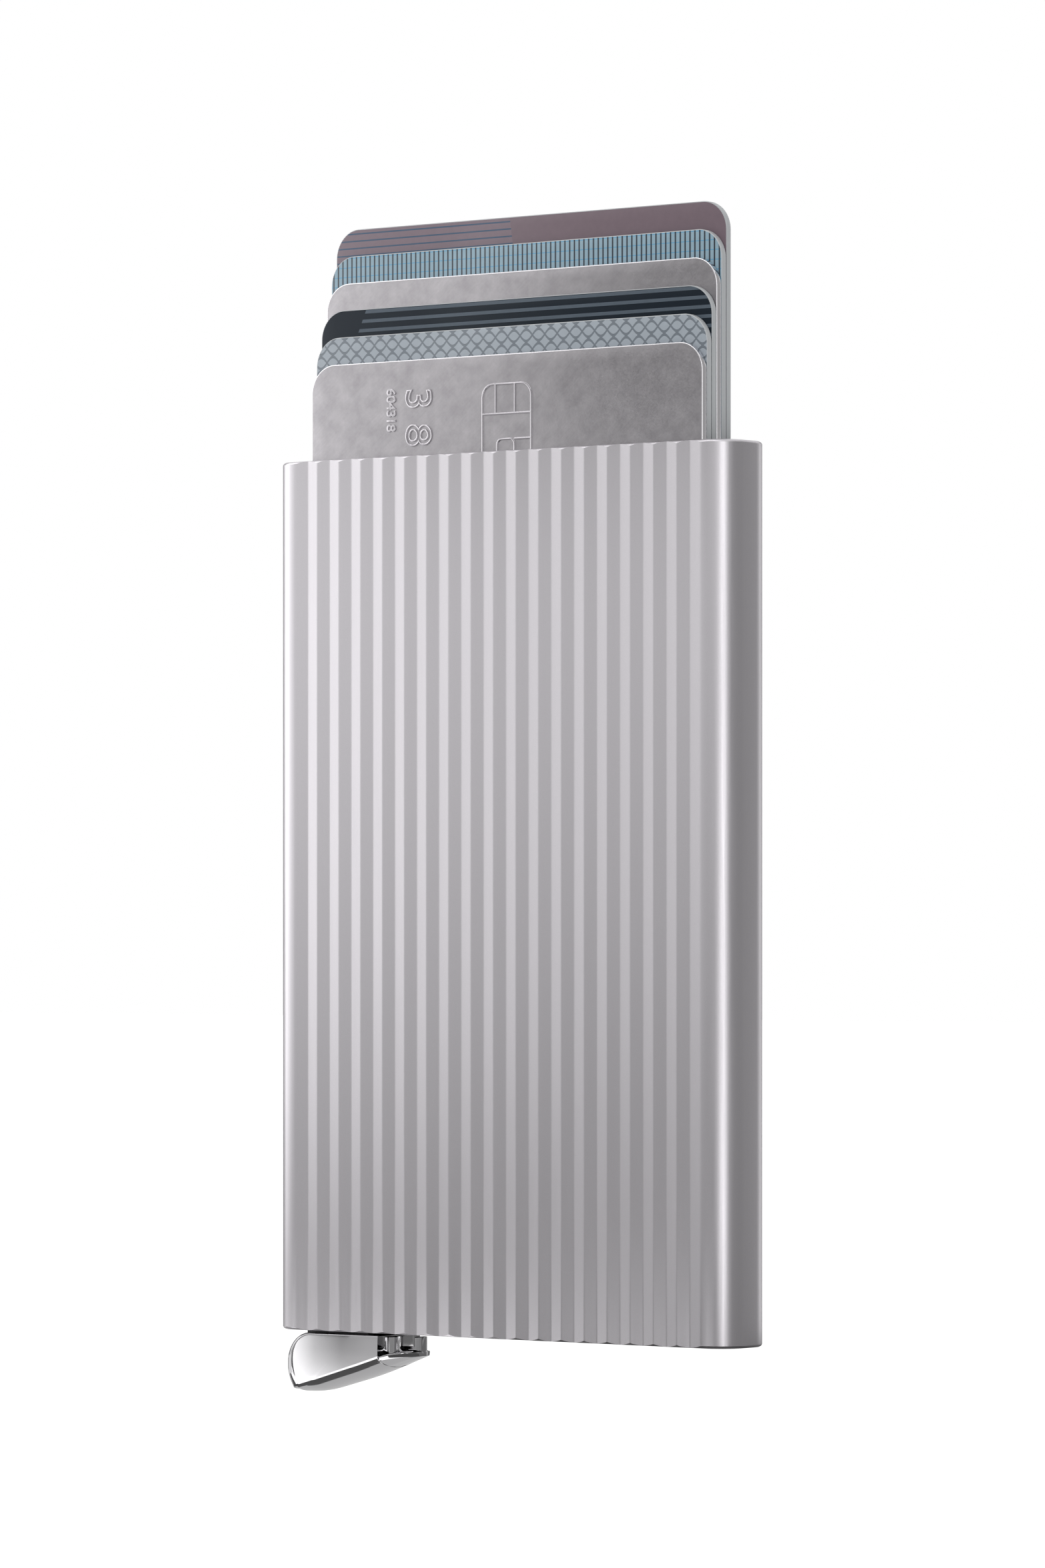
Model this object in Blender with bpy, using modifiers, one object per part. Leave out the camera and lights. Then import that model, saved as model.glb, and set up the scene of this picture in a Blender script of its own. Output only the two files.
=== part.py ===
"""Pop up card holder: a pleated aluminium tube with a tilting thumb lever and six cards fanned out.

The tube stands along +Z. Its front faces -Y and its origin is the centre of its bottom end, on the
underside of the bottom plug. The lever is shown pressed against the tube, so its lifter holds the
six cards up as a stair. Letting the lever swing down lowers the cards into the tube.
"""

import math

import bmesh
import bpy
from mathutils import Matrix, Vector

MM = 0.001

# Tube: an extruded aluminium profile, pleated on its front and its back
TUBE_CORNER_RADIUS = 3.3 * MM
TUBE_WALL = 1.2 * MM
PLEAT_PITCH = 3.1 * MM
PLEAT_DEPTH = 0.27 * MM
RIM_ROUNDING = 0.4 * MM
RIM_MARGIN = 0.03 * MM

# Cards: the common bank card format, with its height along Z
CARD_WIDTH = 53.98 * MM
CARD_HEIGHT = 85.6 * MM
CARD_THICKNESS = 0.76 * MM
CARD_CORNER_RADIUS = 3.18 * MM
CARD_GAP = 0.1 * MM
CARD_COUNT = 6
FIRST_CARD_REACH = 10.6 * MM
CARD_REACH_STEP = 3.06 * MM
LOWERED_CARD_DEPTH = 1.0 * MM
LOWERED_CARD_BOTTOM = 9.4 * MM

# Clearances between pieces
FIT_GAP = 0.3 * MM
PIN_GAP = 0.1 * MM
EDGE_GAP = 0.31 * MM
STACK_GAP = 0.47 * MM
CUT_OVERRUN = 2.0 * MM
WELD_DISTANCE = 0.001 * MM

# Lever hinge, from the centre of the tube's bottom end
PIVOT_FROM_SIDE = 4.5 * MM
PIVOT_DROP = 3.7 * MM
LEVER_SWING = math.radians(35)
HINGE_PIN_RADIUS = 0.8 * MM
HUB_RADIUS = 1.7 * MM

# Thumb lever: a polished casting, hollow and open at the top
LEVER_HEEL_REACH = 3.7 * MM
LEVER_LENGTH = 18.0 * MM
LEVER_TOP_GAP = 0.25 * MM
LEVER_THICKNESS = 7.8 * MM
LEVER_DEPTH = 6.72 * MM
HEEL_TOP_RADIUS = 3.85 * MM
HEEL_BOTTOM_RADIUS = 2.1 * MM
HEEL_SIDE_RADIUS = 1.9 * MM
KEEL_START = 3.7 * MM
KEEL_START_RADIUS = 12.0 * MM
KEEL_BEND_SHARE = 0.622
KEEL_BEND_RADIUS = 60.0 * MM
KEEL_BEND_RISE_SHARE = 0.441
KEEL_CROWN = 1.4 * MM
TONGUE_LENGTH = 3.9 * MM
TONGUE_END_HEIGHT = 2.17 * MM
TONGUE_THICKNESS = 2.6 * MM
TONGUE_FILLET = 0.6 * MM
TONGUE_END_RADIUS = 0.8 * MM
EYE_WIDTH = 1.7 * MM
EYE_DEPTH = 1.75 * MM
EYE_FROM_END = 0.9 * MM
LEVER_SIDE_WALL = 1.15 * MM
LEVER_HEEL_WALL = 1.4 * MM
CAVITY_END_WALL = 1.1 * MM
CAVITY_FLOOR_WALL = 1.13 * MM
HEEL_SLOT_FLOOR = 0.2 * MM
PIN_BLIND_DEPTH = 0.6 * MM

# Lifter: a stair of six beams, one for each card, on two cheeks
LIFTER_CARD_GAP = 1.6 * MM
LANE_INSET = 0.1 * MM
COLUMN_FROM_PIVOT = 2.4 * MM
COLUMN_SHOULDER = 3.0 * MM
FOOT_END_GAP = 1.6 * MM
FOOT_BOTTOM = 0.7 * MM
FOOT_CORNER_RADIUS = 0.4 * MM
BEAM_ROOT = 15.5 * MM
BEAM_ROOT_FLOOR_GAP = 0.7 * MM
BEAM_TIP_HEIGHT = 2.2 * MM
BEAM_CORNER_RADIUS = 0.5 * MM
BEAM_ROOT_RADIUS = 3.0 * MM
LEVER_PIN_RADIUS = 0.5 * MM
LEVER_PIN_FROM_FOOT_END = 1.6 * MM
LEVER_PIN_RISE = 1.5 * MM

# Bottom plug: a floor with a spine between the lifter's cheeks and a lug for the hinge
PLUG_FLOOR = 1.6 * MM
PLUG_BLOCK_REACH = 1.5 * MM
PLUG_FLOOR_REACH = 15.8 * MM
PLUG_LAND_STEP = 0.2 * MM
SPINE_THICKNESS = 2.4 * MM
SPINE_HEIGHT_GAP = 0.4 * MM

# Guide rails, each with a sprung friction pad
RAIL_THICKNESS = 2.7 * MM
RAIL_TOP_DEPTH = 1.5 * MM
RAIL_FOOT_REACH = 1.39 * MM
POCKET_BACK_WALL = 0.8 * MM
POCKET_WALL = 0.6 * MM
POCKET_FROM_RIM = 20.0 * MM
POCKET_LENGTH = 36.0 * MM
PAD_PROUD = 0.1 * MM
PAD_THICKNESS = 0.65 * MM
PAD_END_GAP = 3.0 * MM
LEAF_THICKNESS = 0.2 * MM
LEAF_END_GAP = 2.0 * MM

# Steps in the round stretches
CORNER_STEPS = 6
PIN_SIDES = 20
ARC_STEPS = 16
LEAF_STEPS = 14
RIM_STEPS = 3
ENVELOPE_STEPS = 13

# Worked out from the sizes above
CARD_PITCH = CARD_THICKNESS + CARD_GAP
STACK_HALF_DEPTH = (CARD_PITCH * (CARD_COUNT - 1) + CARD_THICKNESS) / 2
TUBE_WIDTH = CARD_WIDTH + 2 * (EDGE_GAP + RAIL_THICKNESS + FIT_GAP + TUBE_WALL)
TUBE_DEPTH = 2 * (STACK_HALF_DEPTH + STACK_GAP + TUBE_WALL)
TUBE_HEIGHT = LOWERED_CARD_BOTTOM + CARD_HEIGHT + LOWERED_CARD_DEPTH
PLEATS_EACH_SIDE = int((TUBE_WIDTH / 2 - TUBE_CORNER_RADIUS) / PLEAT_PITCH) - 1
INNER_HALF_WIDTH = TUBE_WIDTH / 2 - TUBE_WALL
INNER_HALF_DEPTH = TUBE_DEPTH / 2 - TUBE_WALL
INNER_CORNER_RADIUS = TUBE_CORNER_RADIUS - TUBE_WALL
INSERT_HALF_WIDTH = INNER_HALF_WIDTH - FIT_GAP
INSERT_HALF_DEPTH = INNER_HALF_DEPTH - FIT_GAP
INSERT_CORNER_RADIUS = INNER_CORNER_RADIUS - FIT_GAP
LIFTER_HALF_DEPTH = STACK_HALF_DEPTH - LANE_INSET
BEAM_TOP = LOWERED_CARD_BOTTOM - LIFTER_CARD_GAP + PIVOT_DROP
PIVOT = Vector((PIVOT_FROM_SIDE - TUBE_WIDTH / 2, 0, -PIVOT_DROP))
SLOT_HALF_DEPTH = SPINE_THICKNESS / 2 + FIT_GAP
SLOT_TOP = PIVOT_DROP + PLUG_FLOOR + SPINE_HEIGHT_GAP
RAIL_FACE = CARD_WIDTH / 2 + EDGE_GAP
RAIL_BOTTOM = PLUG_FLOOR + FIT_GAP
POCKET_HALF_DEPTH = INSERT_HALF_DEPTH - POCKET_WALL
POCKET_DEPTH = RAIL_THICKNESS - POCKET_BACK_WALL
POCKET_LOW = TUBE_HEIGHT - POCKET_FROM_RIM - POCKET_LENGTH
KEEL_BEND = LEVER_LENGTH * KEEL_BEND_SHARE
KEEL_RISE = LEVER_DEPTH - TONGUE_END_HEIGHT
BEND_RISE = KEEL_RISE * KEEL_BEND_RISE_SHARE
HEEL_KEEL_SLOPE = math.atan(BEND_RISE / (KEEL_BEND - KEEL_START))
TONGUE_KEEL_SLOPE = math.atan((KEEL_RISE - BEND_RISE) / (LEVER_LENGTH - KEEL_BEND))
CAVITY_LENGTH = LEVER_LENGTH - TONGUE_LENGTH - LEVER_HEEL_WALL - CAVITY_END_WALL
FOOT_REACH = LEVER_HEEL_WALL + CAVITY_LENGTH - LEVER_HEEL_REACH - FOOT_END_GAP
LEVER_PIN_REACH = FOOT_REACH - LEVER_PIN_FROM_FOOT_END

FRONT_VIEW = Matrix.Rotation(math.radians(90), 4, "X")


def card_lift(index):
    """How far the lever raises the card, counted from the front."""
    return LOWERED_CARD_DEPTH + FIRST_CARD_REACH + CARD_REACH_STEP * index


def card_depth(index):
    """The card's mid plane along Y."""
    return CARD_PITCH * index - STACK_HALF_DEPTH + CARD_THICKNESS / 2


def new_collection(name):
    collection = bpy.data.collections.new(name)
    bpy.context.scene.collection.children.link(collection)
    return collection


def new_material(name, colour, metallic, roughness):
    material = bpy.data.materials.new(name)
    material.use_nodes = True
    shader = material.node_tree.nodes["Principled BSDF"]
    shader.inputs["Base Color"].default_value = (*colour, 1)
    shader.inputs["Metallic"].default_value = metallic
    shader.inputs["Roughness"].default_value = roughness
    material.diffuse_color = (*colour, 1)
    return material


def arc(centre, radius, start, end, steps):
    """Points on an arc, with angles in radians."""
    points = []
    for step in range(steps + 1):
        angle = start + (end - start) * step / steps
        points.append(Vector((centre[0] + radius * math.cos(angle), centre[1] + radius * math.sin(angle))))
    return points


def rounded_outline(corners, steps=CORNER_STEPS):
    """A closed outline through corners of (x, y, radius), each rounded by its own radius."""
    points = []
    for index, (x, y, radius) in enumerate(corners):
        corner = Vector((x, y))
        if radius == 0:
            points.append(corner)
            continue
        before = Vector(corners[index - 1][:2]) - corner
        after = Vector(corners[(index + 1) % len(corners)][:2]) - corner
        half_angle = before.angle(after) / 2
        middle = (before.normalized() + after.normalized()).normalized()
        centre = corner + middle * radius / math.sin(half_angle)
        first = corner + before.normalized() * radius / math.tan(half_angle) - centre
        last = corner + after.normalized() * radius / math.tan(half_angle) - centre
        turn = first.angle_signed(last)
        start = math.atan2(first.y, first.x)
        points += arc(centre, radius, start, start - turn, steps)
    return points


def rounded_rectangle(half_width, half_height, radius, steps=CORNER_STEPS):
    signs = ((-1, -1), (1, -1), (1, 1), (-1, 1))
    return rounded_outline([(sx * half_width, sy * half_height, radius) for sx, sy in signs], steps)


def circle(centre, radius):
    return arc(centre, radius, 0, 2 * math.pi * (PIN_SIDES - 1) / PIN_SIDES, PIN_SIDES - 1)


def plate(name, outlines, half_thickness, frame, collection):
    """A closed solid from flat outlines, drawn as a filled curve and made a mesh."""
    curve = bpy.data.curves.new(name, "CURVE")
    curve.dimensions = "2D"
    curve.fill_mode = "BOTH"
    curve.extrude = half_thickness
    for outline in outlines:
        spline = curve.splines.new("POLY")
        spline.points.add(len(outline) - 1)
        for point, place in zip(spline.points, outline):
            point.co = (place[0], place[1], 0, 1)
        spline.use_cyclic_u = True
    drawn = bpy.data.objects.new(name + "_outline", curve)
    collection.objects.link(drawn)
    drawn.matrix_world = frame
    bpy.context.view_layer.update()
    mesh = bpy.data.meshes.new_from_object(drawn.evaluated_get(bpy.context.evaluated_depsgraph_get()))
    solid = bpy.data.objects.new(name, mesh)
    solid.matrix_world = drawn.matrix_world.copy()
    collection.objects.link(solid)
    bpy.data.objects.remove(drawn)
    shell = bmesh.new()
    shell.from_mesh(mesh)
    bmesh.ops.remove_doubles(shell, verts=shell.verts, dist=WELD_DISTANCE)
    bmesh.ops.recalc_face_normals(shell, faces=shell.faces)
    shell.to_mesh(mesh)
    shell.free()
    return solid


def box(name, low, high, frame, collection):
    """A box between two corners of the given frame."""
    size = Vector(high) - Vector(low)
    centre = (Vector(high) + Vector(low)) / 2
    mesh = bpy.data.meshes.new(name)
    shell = bmesh.new()
    bmesh.ops.create_cube(shell, size=1, matrix=Matrix.Diagonal((*size, 1)))
    shell.to_mesh(mesh)
    shell.free()
    solid = bpy.data.objects.new(name, mesh)
    solid.matrix_world = frame @ Matrix.Translation(centre)
    collection.objects.link(solid)
    return solid


def combine(target, other, operation):
    """Cut, join or intersect the target with another solid, which becomes a hidden tool."""
    other.hide_render = True
    other.display_type = "WIRE"
    step = target.modifiers.new(operation.lower() + "_" + other.name, "BOOLEAN")
    step.operation = operation
    step.object = other
    step.solver = "EXACT"


def finish(piece, material):
    piece.data.materials.clear()
    piece.data.materials.append(material)
    piece.data.shade_smooth()
    piece.data.set_sharp_from_angle(angle=math.radians(30))
    return piece


def axis_empty(name, place, collection):
    """An empty that marks where a moving piece turns or slides."""
    empty = bpy.data.objects.new(name, None)
    empty.empty_display_size = TUBE_WALL
    empty.location = place
    collection.objects.link(empty)
    bpy.context.view_layer.update()
    return empty


def hang_on(piece, empty):
    """Parent a piece to an empty and keep its place."""
    place = piece.matrix_world.copy()
    piece.parent = empty
    piece.matrix_parent_inverse = empty.matrix_world.inverted()
    piece.matrix_world = place


def pleated_side(front):
    """Crest and valley points along one side, from -X to +X, for the front (-1) or the back (1)."""
    crest = front * TUBE_DEPTH / 2
    valley = front * (TUBE_DEPTH / 2 - PLEAT_DEPTH)
    points = [Vector((-(PLEATS_EACH_SIDE + 1) * PLEAT_PITCH, crest))]
    for half_step in range(-2 * PLEATS_EACH_SIDE - 1, 2 * PLEATS_EACH_SIDE + 2):
        points.append(Vector((half_step * PLEAT_PITCH / 2, valley if half_step % 2 else crest)))
    points.append(Vector(((PLEATS_EACH_SIDE + 1) * PLEAT_PITCH, crest)))
    return points


def tube_outline():
    """The pleated outer outline, with a rounded edge at each side."""
    edge_x = TUBE_WIDTH / 2 - TUBE_CORNER_RADIUS
    edge_y = TUBE_DEPTH / 2 - TUBE_CORNER_RADIUS
    right_angle = math.radians(90)
    outline = pleated_side(-1)
    outline += arc((edge_x, -edge_y), TUBE_CORNER_RADIUS, -right_angle, 0, CORNER_STEPS)
    outline += arc((edge_x, edge_y), TUBE_CORNER_RADIUS, 0, right_angle, CORNER_STEPS)
    outline += reversed(pleated_side(1))
    outline += arc((-edge_x, edge_y), TUBE_CORNER_RADIUS, right_angle, 2 * right_angle, CORNER_STEPS)
    outline += arc((-edge_x, -edge_y), TUBE_CORNER_RADIUS, 2 * right_angle, 3 * right_angle, CORNER_STEPS)
    return outline


def make_tube(parts, tools, material):
    """The pleated tube, its ends rounded as one straight cut, which scallops the pleats."""
    middle = Matrix.Translation((0, 0, TUBE_HEIGHT / 2))
    bore = rounded_rectangle(INNER_HALF_WIDTH, INNER_HALF_DEPTH, INNER_CORNER_RADIUS)
    tube = plate("tube", [tube_outline(), bore], TUBE_HEIGHT / 2 + CUT_OVERRUN, middle, parts)
    envelope_outline = rounded_rectangle(
        TUBE_WIDTH / 2 + RIM_MARGIN,
        TUBE_DEPTH / 2 + RIM_MARGIN,
        TUBE_CORNER_RADIUS + RIM_MARGIN,
        ENVELOPE_STEPS,
    )
    envelope = plate("tube_envelope", [envelope_outline], TUBE_HEIGHT / 2, middle, tools)
    rounding = envelope.modifiers.new("rim_rounding", "BEVEL")
    rounding.width = RIM_ROUNDING + RIM_MARGIN
    rounding.segments = RIM_STEPS
    rounding.limit_method = "ANGLE"
    rounding.angle_limit = math.radians(60)
    combine(tube, envelope, "INTERSECT")
    return finish(tube, material)


def lug_outline(radius):
    """A lug's round lower end about the hinge axis, and its straight sides up to the plug."""
    top = PIVOT_DROP + PLUG_FLOOR / 2
    points = arc((0, 0), radius, math.radians(180), math.radians(360), ARC_STEPS)
    return points + [Vector((radius, top)), Vector((-radius, top))]


def make_bottom_plug(parts, tools, material):
    """A floor that narrows to a spine where the lifter's cheeks pass, with a flat land beside it."""
    spine = SPINE_THICKNESS / 2
    block_edge = PIVOT.x + PLUG_BLOCK_REACH
    floor_edge = PIVOT.x + PLUG_FLOOR_REACH
    wide = INSERT_HALF_WIDTH
    deep = INSERT_HALF_DEPTH
    radius = INSERT_CORNER_RADIUS
    outline = rounded_outline([
        (-wide, -deep, radius),
        (block_edge, -deep, 0),
        (block_edge, -spine, 0),
        (floor_edge, -spine, 0),
        (floor_edge, -deep, 0),
        (wide, -deep, radius),
        (wide, deep, radius),
        (floor_edge, deep, 0),
        (floor_edge, spine, 0),
        (block_edge, spine, 0),
        (block_edge, deep, 0),
        (-wide, deep, radius),
    ])
    plug = plate("bottom_plug", [outline], PLUG_FLOOR / 2, Matrix.Translation((0, 0, PLUG_FLOOR / 2)), parts)
    relief_low = (-wide - CUT_OVERRUN, -deep - CUT_OVERRUN, -CUT_OVERRUN)
    relief_high = (floor_edge, deep + CUT_OVERRUN, PLUG_LAND_STEP)
    relief = box("plug_relief", relief_low, relief_high, Matrix.Identity(4), tools)
    combine(plug, relief, "DIFFERENCE")
    hole = circle((0, 0), HINGE_PIN_RADIUS + PIN_GAP)
    at_pivot = Matrix.Translation(PIVOT) @ FRONT_VIEW
    lug = plate("plug_lug", [lug_outline(HUB_RADIUS), hole], spine, at_pivot, tools)
    combine(plug, lug, "UNION")
    return finish(plug, material)


def keel_corners(right, bottom, bend_radius, end_radius):
    """The corners of a line that runs level, then up by the keel's two slopes, about the hinge."""
    start = KEEL_START - LEVER_HEEL_REACH
    bend = KEEL_BEND - LEVER_HEEL_REACH
    end_rise = BEND_RISE + (right - bend) * math.tan(TONGUE_KEEL_SLOPE)
    return [
        (start, bottom, KEEL_START_RADIUS),
        (bend, bottom + BEND_RISE, bend_radius),
        (right, bottom + end_rise, end_radius),
    ]


def lever_side_outline():
    """The lever seen from the front, about its hinge: round heel, sloping keel and blunt tongue."""
    left = -LEVER_HEEL_REACH
    right = LEVER_LENGTH - LEVER_HEEL_REACH
    top = PIVOT_DROP - LEVER_TOP_GAP
    return rounded_outline([
        (left, top, HEEL_TOP_RADIUS),
        (left, top - LEVER_DEPTH, HEEL_BOTTOM_RADIUS),
        *keel_corners(right, top - LEVER_DEPTH, KEEL_BEND_RADIUS, TONGUE_END_RADIUS),
        (right, top, 0),
    ])


def lever_plan_outline():
    """The lever seen from above, about its hinge: round heel edges and a narrow tongue."""
    left = -LEVER_HEEL_REACH
    right = LEVER_LENGTH - LEVER_HEEL_REACH
    step = right - TONGUE_LENGTH
    wide = LEVER_THICKNESS / 2
    narrow = TONGUE_THICKNESS / 2
    return rounded_outline([
        (left, -wide, HEEL_SIDE_RADIUS),
        (step, -wide, 0),
        (step, -narrow, TONGUE_FILLET),
        (right, -narrow, TONGUE_END_RADIUS),
        (right, narrow, TONGUE_END_RADIUS),
        (step, narrow, TONGUE_FILLET),
        (step, wide, 0),
        (left, wide, HEEL_SIDE_RADIUS),
    ])


def crown_outline():
    """The lever's cross-section square to its keel, which is crowned from side to side."""
    half = LEVER_THICKNESS / 2
    radius = (half ** 2 + KEEL_CROWN ** 2) / (2 * KEEL_CROWN)
    reach = math.asin(half / radius) + math.asin(CUT_OVERRUN / radius)
    down = math.radians(270)
    keel = arc((0, radius), radius, down - reach, down + reach, ARC_STEPS)
    top = LEVER_DEPTH * 2
    return keel + [Vector((keel[-1].x, top)), Vector((keel[0].x, top))]


def cavity_outline():
    """The hollow seen from the front, about the hinge, with a floor that follows the keel."""
    left = -LEVER_HEEL_REACH + LEVER_HEEL_WALL
    right = left + CAVITY_LENGTH
    floor = PIVOT_DROP - LEVER_TOP_GAP - LEVER_DEPTH + CAVITY_FLOOR_WALL
    over = PIVOT_DROP + CUT_OVERRUN
    return rounded_outline([
        (left, over, 0),
        (left, floor, FOOT_CORNER_RADIUS),
        *keel_corners(right, floor, KEEL_START_RADIUS, FOOT_CORNER_RADIUS),
        (right, over, 0),
    ])


def eye_outline():
    """A cord eye with a round bottom, open upwards, just inside the tongue's end post."""
    centre_x = LEVER_LENGTH - LEVER_HEEL_REACH - EYE_FROM_END - EYE_WIDTH / 2
    centre_y = PIVOT_DROP - LEVER_TOP_GAP - EYE_DEPTH + EYE_WIDTH / 2
    radius = EYE_WIDTH / 2
    points = arc((centre_x, centre_y), radius, math.radians(180), math.radians(360), ARC_STEPS)
    over = PIVOT_DROP + CUT_OVERRUN
    return points + [Vector((centre_x + radius, over)), Vector((centre_x - radius, over))]


def make_thumb_lever(parts, tools, material):
    """The lever's plan, side and cross-section in one casting, hollowed for the lug and lifter."""
    half = LEVER_THICKNESS / 2
    at_pivot = Matrix.Translation(PIVOT)
    facing = at_pivot @ FRONT_VIEW
    lever = plate("thumb_lever", [lever_plan_outline()], LEVER_DEPTH * 2, at_pivot, parts)
    side = plate("lever_side", [lever_side_outline()], half + CUT_OVERRUN, facing, tools)
    combine(lever, side, "INTERSECT")
    bottom = PIVOT_DROP - LEVER_TOP_GAP - LEVER_DEPTH
    keel_point = Vector((KEEL_BEND - LEVER_HEEL_REACH, 0, bottom + BEND_RISE))
    keel_slope = (HEEL_KEEL_SLOPE + TONGUE_KEEL_SLOPE) / 2
    along_keel = Matrix.Rotation(-keel_slope, 4, "Y") @ Matrix.Rotation(math.radians(90), 4, "Y")
    upright = Matrix.Rotation(math.radians(90), 4, "Z")
    keel_frame = at_pivot @ Matrix.Translation(keel_point) @ along_keel @ upright
    crown = plate("lever_crown", [crown_outline()], LEVER_LENGTH * 2, keel_frame, tools)
    combine(lever, crown, "INTERSECT")
    hollow = plate("lever_hollow", [cavity_outline()], half - LEVER_SIDE_WALL, facing, tools)
    combine(lever, hollow, "DIFFERENCE")
    eye = plate("lever_eye", [eye_outline()], half + CUT_OVERRUN, facing, tools)
    combine(lever, eye, "DIFFERENCE")
    slot_low = (-LEVER_HEEL_REACH - CUT_OVERRUN, -SLOT_HALF_DEPTH, HEEL_SLOT_FLOOR)
    slot_high = (0, SLOT_HALF_DEPTH, PIVOT_DROP + CUT_OVERRUN)
    combine(lever, box("lever_heel_slot", slot_low, slot_high, at_pivot, tools), "DIFFERENCE")
    pin_reach = half - PIN_BLIND_DEPTH + PIN_GAP
    for name, centre, radius in pin_places():
        hole = plate(name + "_bore", [circle(centre, radius + PIN_GAP)], pin_reach, facing, tools)
        combine(lever, hole, "DIFFERENCE")
    return finish(lever, material)


def pin_places():
    """Each cross pin's name, its centre about the hinge, and its radius."""
    return (
        ("hinge_pin", (0, 0), HINGE_PIN_RADIUS),
        ("lever_pin", (LEVER_PIN_REACH, LEVER_PIN_RISE), LEVER_PIN_RADIUS),
    )


def make_pins(parts, material):
    """Two cross pins: one is the hinge, the other locks the lifter to the lever."""
    length = LEVER_THICKNESS / 2 - PIN_BLIND_DEPTH
    pins = []
    for name, centre, radius in pin_places():
        frame = Matrix.Translation(PIVOT + Vector((centre[0], 0, centre[1]))) @ FRONT_VIEW
        pins.append(finish(plate(name, [circle((0, 0), radius)], length, frame, parts), material))
    return pins


def raised(x, y):
    """A point of the lowered lifter, turned about the hinge into the raised position."""
    turn = math.cos(LEVER_SWING), math.sin(LEVER_SWING)
    return Vector((x * turn[0] - y * turn[1], x * turn[1] + y * turn[0]))


def beam_reach(index):
    """How far the card's beam reaches from the hinge, so that it rises by the card's lift."""
    return (BEAM_TOP * (1 - math.cos(LEVER_SWING)) + card_lift(index)) / math.sin(LEVER_SWING)


def lifter_outline():
    """The raised lifter's longest beam, its column and its foot, about the hinge."""
    tip = beam_reach(CARD_COUNT - 1)
    root_y = PIVOT_DROP + PLUG_FLOOR + BEAM_ROOT_FLOOR_GAP
    beam_left = (COLUMN_FROM_PIVOT + BEAM_TOP * math.sin(LEVER_SWING)) / math.cos(LEVER_SWING)
    corners = [
        (FOOT_REACH, FOOT_BOTTOM, FOOT_CORNER_RADIUS),
        (*raised(BEAM_ROOT, root_y), BEAM_ROOT_RADIUS),
        (*raised(tip, BEAM_TOP - BEAM_TIP_HEIGHT), BEAM_CORNER_RADIUS),
        (*raised(tip, BEAM_TOP), 0),
        (*raised(beam_left, BEAM_TOP), BEAM_CORNER_RADIUS),
        (COLUMN_FROM_PIVOT, COLUMN_SHOULDER, FOOT_CORNER_RADIUS),
        (-HUB_RADIUS / 2, HUB_RADIUS * math.sin(math.radians(60)), 0),
        (0, -HUB_RADIUS, 0),
    ]
    outline = rounded_outline(corners)
    hub = arc((0, 0), HUB_RADIUS, math.radians(120), math.radians(285), ARC_STEPS)
    return outline[:-2] + hub


def make_lifter(parts, tools, material):
    """One stair-stepped solid: each beam runs from its own card's lane to the back."""
    pin_holes = [circle(centre, radius + PIN_GAP) for name, centre, radius in pin_places()]
    at_pivot = Matrix.Translation(PIVOT)
    lifter = plate("lifter", [lifter_outline()] + pin_holes, LIFTER_HALF_DEPTH, at_pivot @ FRONT_VIEW, parts)
    lowered = at_pivot @ Matrix.Rotation(-LEVER_SWING, 4, "Y")
    front = -LIFTER_HALF_DEPTH - CUT_OVERRUN
    end = beam_reach(CARD_COUNT - 1) + CUT_OVERRUN
    for index in range(CARD_COUNT - 1):
        next_lane = card_depth(index + 1) - CARD_THICKNESS / 2 + LANE_INSET
        low = (beam_reach(index), front, BEAM_TOP - CARD_HEIGHT / 2)
        high = (end, next_lane, BEAM_TOP + CUT_OVERRUN)
        step = box("lifter_step_" + str(index + 1), low, high, lowered, tools)
        combine(lifter, step, "DIFFERENCE")
    slot_low = (-BEAM_ROOT, -SLOT_HALF_DEPTH, -BEAM_ROOT)
    slot_high = (BEAM_ROOT + CUT_OVERRUN, SLOT_HALF_DEPTH, SLOT_TOP)
    combine(lifter, box("lifter_slot", slot_low, slot_high, lowered, tools), "DIFFERENCE")
    return finish(lifter, material)


def rail_section(side):
    """A rail's cross-section, which follows the tube's rounded side."""
    return rounded_outline([
        (side * RAIL_FACE, -INSERT_HALF_DEPTH, 0),
        (side * INSERT_HALF_WIDTH, -INSERT_HALF_DEPTH, INSERT_CORNER_RADIUS),
        (side * INSERT_HALF_WIDTH, INSERT_HALF_DEPTH, INSERT_CORNER_RADIUS),
        (side * RAIL_FACE, INSERT_HALF_DEPTH, 0),
    ])


def foot_outline(side):
    """A block under a card's corner, with a 45 degree seat that its rounding comes down to."""
    corner_x = CARD_WIDTH / 2 - CARD_CORNER_RADIUS
    corner_z = LOWERED_CARD_BOTTOM + CARD_CORNER_RADIUS
    seat = (CARD_CORNER_RADIUS + FIT_GAP) * math.sqrt(2)
    inner = CARD_WIDTH / 2 - RAIL_FOOT_REACH
    outer = RAIL_FACE + FIT_GAP
    return [
        Vector((side * inner, RAIL_BOTTOM)),
        Vector((side * outer, RAIL_BOTTOM)),
        Vector((side * outer, corner_z - seat + outer - corner_x)),
        Vector((side * inner, corner_z - seat + inner - corner_x)),
    ]


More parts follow.
